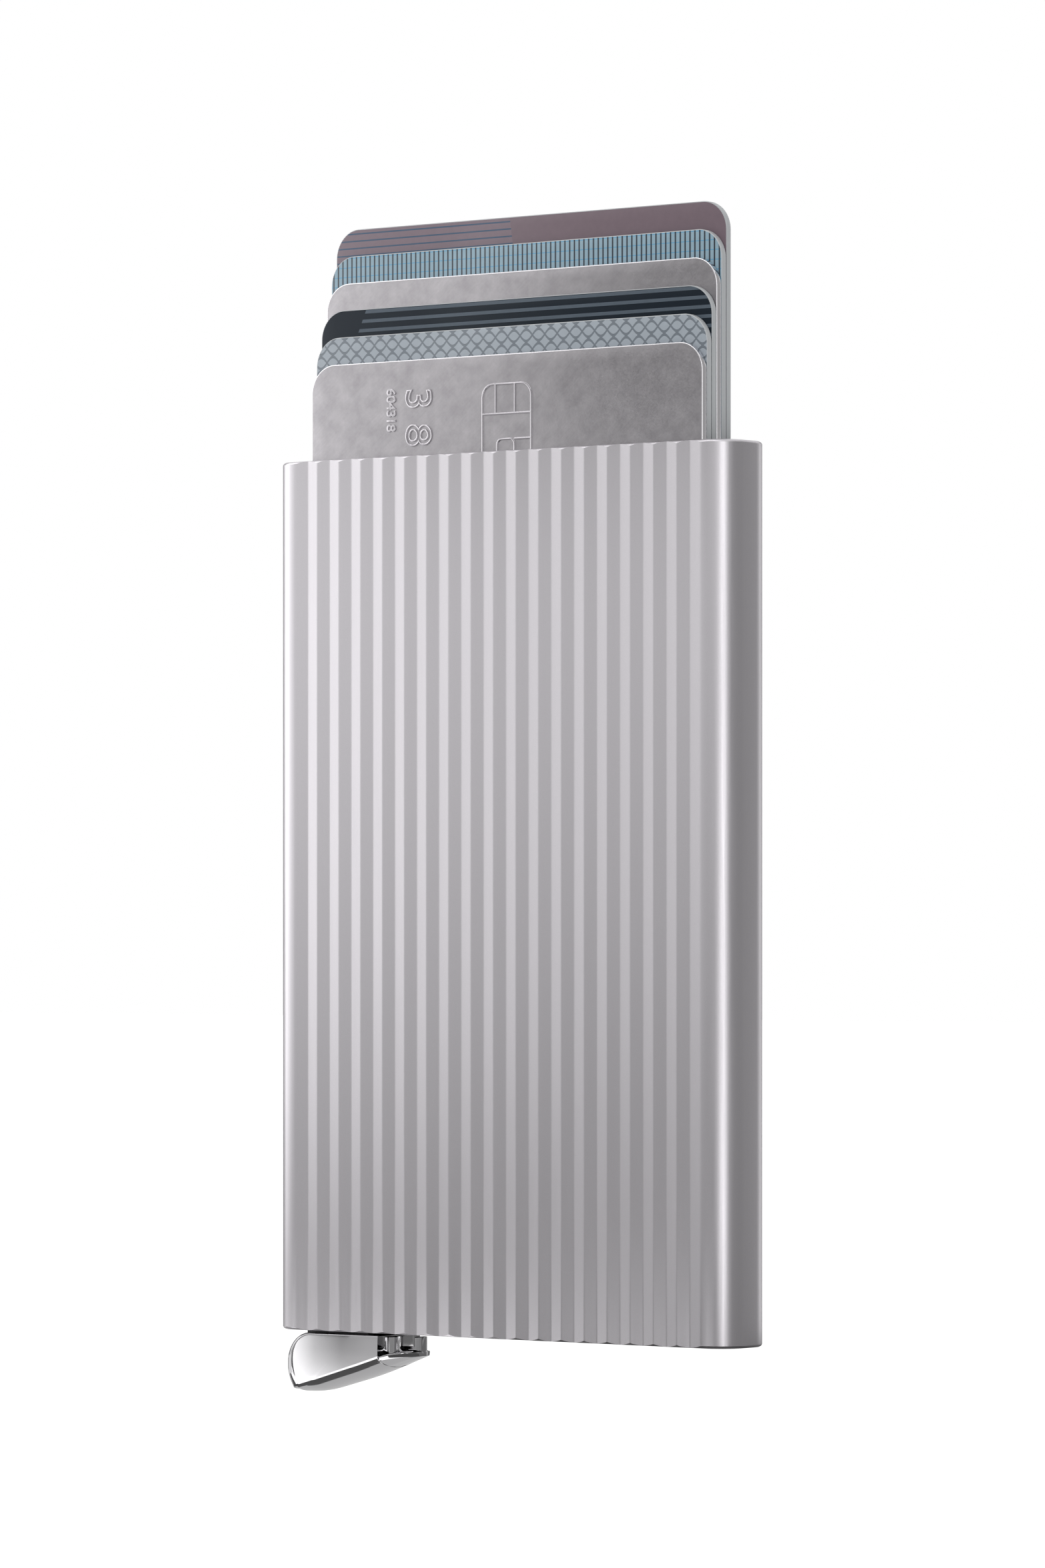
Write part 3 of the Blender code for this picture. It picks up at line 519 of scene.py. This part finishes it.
def make_tube(material):
    """The pleated sleeve: rounded outer rims, a straight bore with eased ends."""
    ring = tube_ring()
    count = len(ring)
    columns = [rim_column(outer, way) for outer, bore, way in ring]
    points = []
    for step in range(RIM_STEPS + 1):
        points += [(*column[step][1], column[step][0]) for column in columns]
    for step in range(RIM_STEPS, -1, -1):
        points += [(*column[step][1], TUBE_HEIGHT - column[step][0]) for column in columns]
    for z, opening in (
        (TUBE_HEIGHT, BORE_EDGE),
        (TUBE_HEIGHT - BORE_EDGE * 0.3, BORE_EDGE * 0.3),
        (TUBE_HEIGHT - BORE_EDGE, 0),
        (BORE_EDGE, 0),
        (BORE_EDGE * 0.3, BORE_EDGE * 0.3),
        (0, BORE_EDGE),
    ):
        points += [(*(bore + way * opening), z) for outer, bore, way in ring]
    loops = len(points) // count
    faces = []
    for loop in range(loops):
        faces += ring_faces(loop * count, (loop + 1) % loops * count, count)
    tube = new_piece("pleated_tube", points, faces, [material], sharp=TUBE_CREASE)
    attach(tube, "housing")
    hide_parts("tube")


def card_rings(edge_radius):
    """Pairs of an inset and a depth, over the card's front edge and then its back edge."""
    rings = []
    for step in range(CARD_EDGE_STEPS + 1):
        angle = math.radians(90 / CARD_EDGE_STEPS) * step
        inset = edge_radius * (1 - math.sin(angle))
        rings.append((inset, CARD_THICKNESS / 2 - edge_radius * (1 - math.cos(angle))))
    return [(inset, -y) for inset, y in rings] + rings[::-1]


def make_card(index, face_material, edge_material, edge_radius, slot):
    """A card with rounded edges, its faces in the first material and its cut edge in the second."""
    middle = CARD_PITCH * index + FRONT_CARD_FACE + CARD_THICKNESS / 2
    centre_z = card_top(index) - CARD_HEIGHT / 2
    loops = []
    for inset, y in card_rings(edge_radius):
        radius = CARD_CORNER - inset
        corners = [
            (sx * (CARD_WIDTH / 2 - inset), sz * (CARD_HEIGHT / 2 - inset), radius)
            for sx, sz in ((-1, -1), (1, -1), (1, 1), (-1, 1))
        ]
        outline = rounded_outline(corners, CARD_CORNER_STEPS)
        loops.append([(x, middle + y, centre_z + z) for x, z in outline])
    card = lofted("card_%d_slab" % (index + 1), loops, [face_material, edge_material], edge_material=1)
    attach(card, "card_%d" % (index + 1))
    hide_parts("card_%d" % (index + 1))


def raised_lines(name, outlines, width, height, material):
    """Raised lines on the front card's face, from open or closed paths of (x, z)."""
    curve = bpy.data.curves.new(name, "CURVE")
    curve.dimensions = "3D"
    curve.bevel_depth = width / 2 * MM
    curve.bevel_resolution = 3
    curve.use_fill_caps = True
    for path, closed in outlines:
        spline = curve.splines.new("POLY")
        spline.points.add(len(path) - 1)
        for point, (x, z) in zip(spline.points, path):
            point.co = (x * MM, 0, z * MM, 1)
        spline.use_cyclic_u = closed
    drawn = bpy.data.objects.new(name + "_path", curve)
    bpy.context.scene.collection.objects.link(drawn)
    as_relief(name, drawn, height / (width / 2), material)


def as_relief(name, drawn, squash, material):
    """Makes a drawn curve or text a mesh, flattened onto the front card's face."""
    bpy.context.view_layer.update()
    graph = bpy.context.evaluated_depsgraph_get()
    mesh = bpy.data.meshes.new_from_object(drawn.evaluated_get(graph))
    mesh.transform(drawn.matrix_world)
    mesh.transform(Matrix.Diagonal((1, squash, 1, 1)))
    mesh.transform(Matrix.Translation((0, FRONT_CARD_FACE * MM, 0)))
    mesh.materials.clear()
    mesh.materials.append(material)
    bpy.data.objects.remove(drawn)
    piece = bpy.data.objects.new(name, mesh)
    bpy.context.scene.collection.objects.link(piece)
    tidy_mesh(piece)
    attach(piece, "card_1")


def rectangle(left, right, bottom, top, radius, steps):
    """A rectangle with rounded corners, as a closed outline."""
    corners = [(left, bottom, radius), (right, bottom, radius), (right, top, radius), (left, top, radius)]
    return rounded_outline(corners, steps)


def chip_outlines():
    """The outline and the divisions of a contact chip, at their places on the card."""
    left, right, bottom, top = -2.77, 3.95, 92.6, 103.36
    first, second = -1.01, 1.65
    window_left, window_bottom, window_top = -0.74, 94.9, 97.37
    middle = 100.14
    low = bottom + top - middle
    return [
        (rectangle(left, right, bottom, top, 1.4, 6), True),
        ([(first, top), (first, middle)], False),
        ([(second, top), (second, middle)], False),
        ([(left, middle), (right, middle)], False),
        ([(second, window_top), (right, window_top)], False),
        (rectangle(window_left, second, window_bottom, window_top, 0.6, 5), True),
        ([(left, low), (right, low)], False),
        ([(first, bottom), (first, low)], False),
        ([(second, bottom), (second, low)], False),
    ]


def raised_digits(name, digits, left, top, size, stroke, height, spacing, filled, material):
    """A row of generic digits that reads downwards, raised on the front card."""
    text = bpy.data.curves.new(name, "FONT")
    text.body = digits
    text.size = size * MM
    text.space_character = spacing
    text.fill_mode = "BOTH" if filled else "NONE"
    text.bevel_depth = stroke / 2 * MM
    text.bevel_resolution = 2
    drawn = bpy.data.objects.new(name + "_text", text)
    turned = Matrix.Rotation(math.radians(90), 4, "X") @ Matrix.Rotation(math.radians(-90), 4, "Z")
    drawn.matrix_world = Matrix.Translation((left * MM, 0, top * MM)) @ turned
    bpy.context.scene.collection.objects.link(drawn)
    as_relief(name, drawn, height / (stroke / 2), material)


def keel_z(x):
    """The height of the keel's line under the lever's thin end."""
    return KEEL_BEND.y + (x - KEEL_BEND.x) * KEEL_SLOPE


def eased(share):
    """A share from 0 to 1 that starts and ends gently."""
    return share * share * (3 - 2 * share)


def lever_outlines(steps=10, gap=0.7):
    """Matching points round the body: silhouette, side facet's edge, and 1 along the crowned keel."""
    silhouette = rounded_outline([
        (LEVER_LEFT, LEVER_TOP, 3.9), (LEVER_LEFT, -5.2, 3.6), (-29.3, LEVER_BOTTOM, 0.8),
        (-27.0, LEVER_BOTTOM, 12), (*KEEL_BEND, 60), (STEP_X, keel_z(STEP_X), 0.03), (STEP_X, LEVER_TOP, 0.1),
    ], steps)
    facet = rounded_outline([
        (-28.7, -0.43, 2.6), (-28.7, -4.21, 5), (-27.87, -5.95, 0.15), (-25.5, -5.27, 12),
        (-19.8, -3.53, 40), (STEP_X, -2.5, 0.08), (STEP_X, -0.43, 0.08),
    ], steps)
    rounded = [0] * (steps + 1)
    folded = [eased(min(1, step / steps * 2)) for step in range(steps + 1)]
    crowned = [1] * (steps + 1)
    keel = rounded * 2 + folded + crowned * 3 + rounded
    corners = list(zip(silhouette, facet, keel))
    matched = []
    for index, (outer, inner, share) in enumerate(corners):
        next_outer, next_inner, next_share = corners[(index + 1) % len(corners)]
        parts = max(1, math.ceil((next_outer - outer).length / gap))
        for part in range(parts):
            way = part / parts
            matched.append((
                outer.lerp(next_outer, way), inner.lerp(next_inner, way), share + (next_share - share) * way
            ))
    return matched


def crown(y):
    """How far a keel crowned across the lever has risen at a depth y."""
    return KEEL_CROWN_RADIUS - math.sqrt(KEEL_CROWN_RADIUS ** 2 - y * y)


def crown_drop(y):
    """How far the body's crowned keel has risen at a depth y, with its rounded edge."""
    into = max(0, abs(y) - FACET_EDGE_Y + KEEL_EDGE) / KEEL_EDGE
    return crown(y) + KEEL_EDGE * (1 - math.sqrt(max(0, 1 - into * into)))


def facet_depth(place):
    """How far the slightly domed side facet stands out at a place on it."""
    x = (place.x - FACET_CENTRE.x) / FACET_DOME_REACH.x
    z = (place.y - FACET_CENTRE.y) / FACET_DOME_REACH.y
    return LEVER_HALF - FACET_DOME * (x * x + z * z)


def body_point(outer, inner, keel, y):
    """A point of the body's skin between its silhouette and the edge of its side facet."""
    reach = (outer - inner).length
    into = max(0, abs(y) - FACET_EDGE_Y + reach) / reach
    rounded = math.sqrt(max(0, 1 - into * into))
    crowned = 1 - crown_drop(y) / crown_drop(FACET_EDGE_Y)
    place = inner.lerp(outer, rounded + (crowned - rounded) * keel)
    return (place.x, y * facet_depth(inner) / FACET_EDGE_Y, place.y)


def lever_body(material):
    """The body: two slightly domed side facets, a round heel edge and a crowned keel."""
    outline = lever_outlines()
    rings = []
    for side in (-1, 1):
        facet = []
        for scale in FACET_SCALES:
            places = [FACET_CENTRE.lerp(inner, scale) for outer, inner, keel in outline]
            facet.append([(place.x, side * facet_depth(place), place.y) for place in places])
        skin = [[body_point(*part, side * depth) for part in outline] for depth in SKIN_DEPTHS]
        if side < 0:
            rings += facet[::-1] + skin[::-1]
        else:
            rings += skin[1:] + facet
    return lofted("lever_casting", rings, [material], sharp=LEVER_CREASE)


def tongue_half(x):
    """Half the thickness of the thin end's upright: tapered to the notch, thinner still to its end."""
    before = max(0, (NOTCH_LEFT - x) / (NOTCH_LEFT - STEP_X))
    after = max(0, (x - NOTCH_LEFT) / (TONGUE_END_X - NOTCH_LEFT))
    return TONGUE_HALF + TONGUE_TAPER * before - TONGUE_NARROWING * eased(min(1, after))


def tongue_section(x, flare=0, rise=0):
    """A cross-section of the thin end: a narrow upright on a keel shaped like a boat's bow.

    The keel's crown is flush with the body's where they meet. Flare widens the upright, and rise makes the
    keel smaller all round. Each corner has its depth, its height and its radius.
    """
    along = max(0, (x - STEP_X) / (TONGUE_END_X - STEP_X))
    wide = BOW_HALF * (1 - along * along) ** BOW_FULLNESS - rise
    half = min(tongue_half(x) + flare, wide * UPRIGHT_SHARE)
    low = keel_z(x) + rise
    edge = low + BOW_CROWN * crown(wide)
    small = min(1, wide / BOW_FULL_SIZE)
    side = [
        (half, TONGUE_TOP, 0.14 * small),
        (half, edge + BOW_EDGE + BOW_LEDGE_RISE * small, 0.15 * small),
        (wide + 0.08 * small, edge + BOW_EDGE, 0.1 * small),
        (wide, edge, 0.2 * small),
        (wide / 2, low + BOW_CROWN * crown(wide / 2), 3 * small),
    ]
    other = [(-y, z, radius) for y, z, radius in side[::-1]]
    outline = rounded_outline(side + [(0, low, 5 * small)] + other, 5)
    return [(x, y, z) for y, z in outline]


def lever_tongue(material):
    """The thin end that the thumb slides off; it starts inside the body and comes out flush with it."""
    sections = [
        tongue_section(STEP_X - 0.7, rise=0.3),
        tongue_section(STEP_X - 0.35, rise=0.01),
        tongue_section(STEP_X - 0.03, TONGUE_FLARE, -0.004),
    ]
    for share in (0.85, 0.55, 0.3, 0.1, 0):
        sections.append(tongue_section(STEP_X + FLARE_REACH * (1 - share), TONGUE_FLARE * share * share))
    length = TONGUE_END_X - STEP_X
    for along in (0.3, 0.45, 0.58, 0.68, 0.77, 0.84, 0.9, 0.94, 0.97, 0.985):
        sections.append(tongue_section(STEP_X + length * along))
    return lofted("tongue", sections, [material])


def notch_cutter(material):
    """The cord notch in the thin end, wider where it meets both faces, so that its rim is rounded."""
    half = TONGUE_HALF
    depths = [half + 1]
    spreads = [NOTCH_RIM]
    for step in range(NOTCH_STEPS + 1):
        turn = math.radians(90 / NOTCH_STEPS) * step
        depths.append(half - NOTCH_RIM * (1 - math.cos(turn)))
        spreads.append(NOTCH_RIM * (1 - math.sin(turn)))
    rings = []
    for side in (-1, 1):
        part = []
        for depth, spread in zip(depths, spreads):
            left = NOTCH_LEFT - spread
            right = NOTCH_RIGHT + spread
            low = NOTCH_FLOOR - spread
            round_low = NOTCH_CORNER + spread
            corners = [(left, 1, 0.05), (left, low, round_low), (right, low, round_low), (right, 1, 0.05)]
            part.append([(x, side * depth, z) for x, z in rounded_outline(corners, 6)])
        rings += part if side < 0 else part[::-1]
    return lofted("notch", rings, [material])


def straight_cutter(name, outline, half, material):
    """A cutter with one outline right through the lever, to half on each side."""
    return lofted(name, [[(x, y, z) for x, z in outline] for y in (-half, half)], [material])


def bore_outline(centre, radius):
    """A closed round outline for a bore through the lever."""
    return arc(centre, radius, 0, math.radians(360 - 360 / BORE_SIDES), BORE_SIDES - 1)


def make_lever(material):
    """The casting: body and thin end in one, hollow above, bored for its hinge and the second pin."""
    lever = lever_body(material)
    combine(lever, [lever_tongue(material)], "UNION")
    hollow = rounded_outline([
        (-28.3, 2, 0.1), (-28.3, -1.9, 0.4), (-29.3, -3.2, 0.4), (-29.3, -5.84, 0.5), (-27.0, -5.84, 12),
        (-19.5, -3.83, 12), (-17.7, -3.16, 0.8), (-17.7, 2, 0.1),
    ], 6)
    heel_slot = rounded_outline([(-32, 2, 0.1), (-32, -3.5, 0.1), (-27, -3.5, 0.1), (-27, 2, 0.1)], 2)
    combine(lever, [
        straight_cutter("hollow", hollow, HOLLOW_HALF, material),
        straight_cutter("heel_slot", heel_slot, SLOT_HALF, material),
        straight_cutter("hinge_bore", bore_outline(HINGE_PLACE, HINGE_BORE), BORE_HALF, material),
        straight_cutter("pin_bore", bore_outline(PIN_PLACE, PIN_BORE), BORE_HALF, material),
        notch_cutter(material),
    ], "DIFFERENCE")
    tidy_mesh(lever, LEVER_CREASE)
    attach(lever, "lever")
    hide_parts("thumb_lever")


def finish_inner_pieces():
    """Gives the inner solids, which keep their own shapes, a finished material each."""
    nylon = moulded_plastic("moulded_nylon", "#2C2C2D", roughness=0.5, ior=1.53)
    acetal = moulded_plastic("moulded_acetal", "#333336", roughness=0.38, ior=1.48)
    abs_plastic = moulded_plastic("moulded_abs", "#343436", roughness=0.45, ior=1.54)
    silicone = moulded_plastic("silicone_rubber", "#4C4C4C", roughness=0.75, ior=1.41)
    ground = worked_steel("ground_steel", "#B9BBBE", roughness=0.22, grain_scale=(4.0, 0.4, 4.0))
    rolled = worked_steel("rolled_spring_steel", "#ABADB0", roughness=0.3, grain_scale=(4.0, 4.0, 0.3))
    for material, nodes in (
        (nylon, ("bottom_plug",)),
        (acetal, ("lifter",)),
        (abs_plastic, ("guide_rail_left", "guide_rail_right")),
        (silicone, ("friction_pad_left", "friction_pad_right")),
        (ground, ("hinge_pin", "lever_pin")),
        (rolled, ("clamp_spring_left", "clamp_spring_right")),
    ):
        for node in nodes:
            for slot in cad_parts[node].material_slots:
                slot.material = material


def make_cards():
    """The six cards, front to back, and what stands out on the front one."""
    metal = cast_metal_card()
    core = card_core()
    # Metal card edges: a smoother polish than the faces, and a colour lighter than the card's own metal,
    # which is a painted highlight
    bright = worked_steel("polished_card_edge_painted_highlight", "#E6E4E7", 0.13, grain_scale=(3.0, 3.0, 0.4))
    # Raised lines and digits on the front card: the card's own metal, polished smoother, with a lighter
    # colour that is a painted highlight
    raised = worked_steel("polished_raised_metal_painted_highlight", "#C6C3C7", 0.2, grain_scale=(5.0, 5.0, 5.0))
    grey_blue = laminated_card("grey_blue_laminate", "#A2ABB4", interlaced_waves, gloss=0.5)
    navy = laminated_card("navy_laminate", "#0C1A26", grey_bands, gloss=0.15)
    light_blue = laminated_card("light_blue_laminate", "#8FACBC", pinstripes, gloss=0.45)
    mauve = laminated_card("mauve_laminate", "#75646D", blue_rules, gloss=0.35)
    cards = (
        (metal, bright, METAL_EDGE, "card_metal"),
        (grey_blue, core, PLASTIC_EDGE, "card_grey_blue"),
        (navy, core, PLASTIC_EDGE, "card_navy"),
        (metal, bright, METAL_EDGE, "card_metal"),
        (light_blue, core, PLASTIC_EDGE, "card_light_blue"),
        (mauve, core, PLASTIC_EDGE, "card_mauve"),
    )
    for index, card in enumerate(cards):
        make_card(index, *card)
    raised_lines("card_1_chip_lines", chip_outlines(), width=0.28, height=0.14, material=raised)
    raised_digits(
        "card_1_large_digits", "3840", left=-13.41, top=103.54, size=5.1, stroke=0.24, height=0.13,
        spacing=1.55, filled=False, material=raised
    )
    raised_digits(
        "card_1_small_digits", "604318", left=-16.14, top=103.6, size=1.75, stroke=0.1, height=0.1,
        spacing=0.9, filled=True, material=raised
    )


def seen_white(tree):
    """1 for rays from the camera, from a mirror surface or through glass, 0 for the light itself."""
    camera = add(tree, "ShaderNodeLightPath", output="Is Camera Ray")
    glossy = add(tree, "ShaderNodeLightPath", output="Is Glossy Ray")
    through = add(tree, "ShaderNodeLightPath", output="Is Transmission Ray")
    either = add(tree, "ShaderNodeMath", {0: camera, 1: glossy}, operation="MAXIMUM")
    return add(tree, "ShaderNodeMath", {0: either, 1: through}, operation="MAXIMUM")


def make_world():
    """A plain white room, a little dimmer where it lights the object than where it is seen."""
    world = bpy.data.worlds.new("studio")
    bpy.context.scene.world = world
    world.use_nodes = True
    tree = world.node_tree
    background = tree.nodes["Background"]
    share = seen_white(tree)
    background.inputs["Color"].default_value = (1, 1, 1, 1)
    link(tree, add(tree, "ShaderNodeMapRange", {0: share, 3: 0.6, 4: 1.0}), background.inputs["Strength"])


def make_floor():
    """A plain pale floor just under the released lever, white to the eye but for the object's soft shadow."""
    size = FLOOR_HALF_SIZE
    points = [(x * size, y * size, FLOOR_Z) for x, y in ((-1, -1), (1, -1), (1, 1), (-1, 1))]
    material = bpy.data.materials.new("pale_floor")
    material.use_nodes = True
    tree = material.node_tree
    tree.nodes.remove(tree.nodes["Principled BSDF"])
    away = add(tree, "ShaderNodeVectorMath", {0: place_in_mm(tree)}, output="Value", operation="LENGTH")
    near = add(tree, "ShaderNodeMapRange", {0: away, 1: 120.0, 2: 320.0}, interpolation_type="SMOOTHSTEP")
    glow_level = add(tree, "ShaderNodeMapRange", {0: near, 3: 0.86, 4: 1.0})
    matt = add(tree, "ShaderNodeBsdfDiffuse", {"Color": (0.35, 0.35, 0.35, 1)})
    glow = add(tree, "ShaderNodeEmission", {"Color": (1, 1, 1, 1), "Strength": glow_level})
    seen = add(tree, "ShaderNodeAddShader", {0: matt, 1: glow})
    lit = add(tree, "ShaderNodeBsdfDiffuse", {"Color": linear("#E8E8E8")})
    shader = add(tree, "ShaderNodeMixShader", {0: seen_white(tree), 1: lit, 2: seen})
    link(tree, shader, tree.nodes["Material Output"].inputs["Surface"])
    floor = new_piece("floor", points, [(0, 1, 2, 3)], [material])
    floor.visible_glossy = False


def make_flag(name, rows):
    """A grey panel beside the camera's view, as a studio uses; only shiny surfaces show it.

    Each row has its two end points and the greys from one to the other, with an even fade between them.
    """
    material = bpy.data.materials.new(name)
    material.use_nodes = True
    tree = material.node_tree
    tree.nodes.remove(tree.nodes["Principled BSDF"])
    grey = add(tree, "ShaderNodeAttribute", output="Fac", attribute_name="grey")
    glow = add(tree, "ShaderNodeEmission", {"Color": (1, 1, 1, 1), "Strength": grey})
    link(tree, glow, tree.nodes["Material Output"].inputs["Surface"])
    points = []
    greys = []
    for start, end, *tones in rows:
        for part in range(FLAG_PARTS + 1):
            points.append(Vector(start).lerp(Vector(end), part / FLAG_PARTS))
            place = part / FLAG_PARTS * (len(tones) - 1)
            before = min(int(place), len(tones) - 2)
            greys.append(tones[before] + (tones[before + 1] - tones[before]) * (place - before))
    faces = []
    for row in range(len(rows) - 1):
        for part in range(FLAG_PARTS):
            first = row * (FLAG_PARTS + 1) + part
            faces.append((first, first + 1, first + FLAG_PARTS + 2, first + FLAG_PARTS + 1))
    flag = new_piece(name, points, faces, [material])
    flag.data.attributes.new("grey", "FLOAT", "POINT").data.foreach_set("value", greys)
    flag.visible_camera = False
    flag.visible_diffuse = False
    flag.visible_shadow = False
    flag.visible_transmission = False


def upright_flag(name, centre, bearings, distance, rows):
    """An upright flag between two bearings from the front, in degrees, positive to the right.

    Each row has its height and the greys from its first bearing to its second.
    """
    ends = []
    for bearing in bearings:
        turn = math.radians(bearing)
        ends.append((centre[0] + distance * math.sin(turn), centre[1] - distance * math.cos(turn)))
    make_flag(name, [((*ends[0], z), (*ends[1], z), *tones) for z, *tones in rows])


def make_lamp(name, bearing, height, distance, size, radiance):
    """A soft rectangular lamp at a bearing from the front, aimed at the middle of the tube."""
    turn = math.radians(bearing)
    place = Vector((distance * math.sin(turn), -distance * math.cos(turn), height))
    lamp = bpy.data.lights.new(name, "AREA")
    lamp.shape = "RECTANGLE"
    lamp.size = size[0] * MM
    lamp.size_y = size[1] * MM
    lamp.energy = radiance * math.pi * lamp.size * lamp.size_y
    holder = bpy.data.objects.new(name, lamp)
    holder.location = place * MM
    way = Vector((0, 0, LAMP_TARGET)) - place
    holder.rotation_euler = way.to_track_quat("-Z", "Y").to_euler()
    bpy.context.scene.collection.objects.link(holder)


def make_camera():
    """A level camera in front of the tube's right side; its shift only frames the photograph."""
    camera = bpy.data.cameras.new("camera")
    camera.sensor_fit = "VERTICAL"
    camera.sensor_height = SENSOR_HEIGHT
    camera.lens = CAMERA_LENS
    camera.shift_y = CAMERA_SHIFT
    camera.clip_start = 10 * MM
    camera.clip_end = 20000 * MM
    holder = bpy.data.objects.new("camera", camera)
    holder.location = Vector(CAMERA_PLACE) * MM
    holder.rotation_euler = (math.radians(90), 0, CAMERA_TURN)
    bpy.context.scene.collection.objects.link(holder)
    bpy.context.scene.camera = holder


def make_tube_flags():
    """The panels that the tube, the cards and the raised lines show."""
    side = (0.5, 0.35, 0.35, 0.5, 0.6, 0.7, 0.7)
    upright_flag("front_flag", centre=(0, 0), bearings=(-45, 40), distance=103, rows=(
        (-160, 0.14, *[0.13] * 8),
        (-14, *[0.18] * 9),
        (-2, 0.53, 0.5, 0.43, 0.35, *[0.32] * 5),
        (50, 0.88, 0.82, 0.72, 0.62, *[0.58] * 5),
        (95, 1.15, 1.05, 0.9, 0.8, *[0.78] * 5),
        (110, 1.6, 0.9, *side),
        (140, 2.6, 1.0, *side),
        (220, 2.6, 1.0, *side),
    ))
    upright_flag("left_panel", centre=(0, 0), bearings=(-90, -45.5), distance=100, rows=[
        (z, 2.8 * level, 0.4 * level) for z, level in (
            (-200, 0.12), (-20, 0.14), (0, 0.38), (25, 0.8), (50, 1.02), (80, 1.08), (220, 1.08)
        )
    ])
    upright_flag("right_flag", centre=(0, 0), bearings=(64, 150), distance=170, rows=(
        (-200, 0.2, 0.3), (0, 0.3, 0.36), (220, 0.36, 0.4),
    ))
    upright_flag("left_rear_flag", centre=(0, 0), bearings=(-96, -178), distance=300, rows=(
        (-200, DIM, DIM), (220, DIM, DIM),
    ))


def make_facet_flag():
    """The graded panel that the lever's side facet shows, brightest below and to the left."""
    upright_flag("facet_card", centre=(-22, -4), bearings=(-52, -25), distance=60, rows=(
        (-36, 2.2, 2.2, 2.2, 2.2, 2.2),
        (-21, 2.2, 2.2, 2.0, 1.6, 1.4),
        (-16.3, 2.2, 1.9, 1.45, 1.2, 1.1),
        (-12.4, 2.2, 1.45, 0.95, 0.85, 0.8),
        (-8.2, 2.1, 1.1, 0.7, 0.7, 0.68),
        (-4, 2.0, 0.9, 0.52, 0.63, 0.62),
        (0.1, 1.9, 0.85, 0.42, 0.6, 0.6),
    ))


def make_lever_flags():
    """Even panels for the lever's edges, heel and thin end: centre, bearings, distance, heights and grey."""
    for name, centre, bearings, distance, low, high, grey in (
        ("heel_line", (-22, -4), (-58, -54), 50, -40, 6, 0.1),
        ("heel_card", (-26, -3), (-105, -62), 45, -45, -3, 1.1),
        ("horn_card", (-16, -2), (-10, 47.5), 80, -14, -3.5, 1.6),
        ("strip_flag", (-16, -2), (-28, -12), 50, -16, -3, 0.12),
        ("camera_flag", (-16, 0), (48, 63), 70, -36, -0.6, DIM),
        ("step_flag", (-16, 0), (100, 170), 60, -40, -0.5, DIM),
    ):
        upright_flag(name, centre, bearings, distance, ((low, grey, grey), (high, grey, grey)))


def make_flags_below():
    """Level panels under the lever, in bands from its back to its front, for its keel and lower edges."""
    for name, left, right, bands in (
        ("under_body", -90, -18.8, (
            (60, 0.6), (1.2, 0.6), (0.6, 0.12), (-10.6, 0.12), (-11.2, 1.9), (-40, 1.9),
        )),
        ("under_tongue", -18.8, -12.5, (
            (60, 0.6), (4.5, 0.6), (4.3, 0.12), (1.9, 0.12), (1.7, 1.9), (-40, 1.9),
        )),
        ("under_right", -12.4, 80, ((60, 0.1), (-60, 0.1))),
    ):
        make_flag(name, [((left, y, FLAG_Z), (right, y, FLAG_Z), grey, grey) for y, grey in bands])


make_tube(satin_anodised_aluminium())
make_lever(chromed_zinc())
make_cards()
finish_inner_pieces()
make_world()
make_floor()
make_tube_flags()
make_facet_flag()
make_lever_flags()
make_flags_below()
make_lamp("left_softbox", bearing=-66, height=150, distance=240, size=(170, 230), radiance=0.5)
make_lamp("right_strip", bearing=47, height=120, distance=520, size=(150, 620), radiance=1.5)
make_lamp("top_softbox", bearing=-20, height=520, distance=260, size=(420, 320), radiance=1.2)
make_camera()
bpy.context.scene.view_settings.view_transform = "Standard"
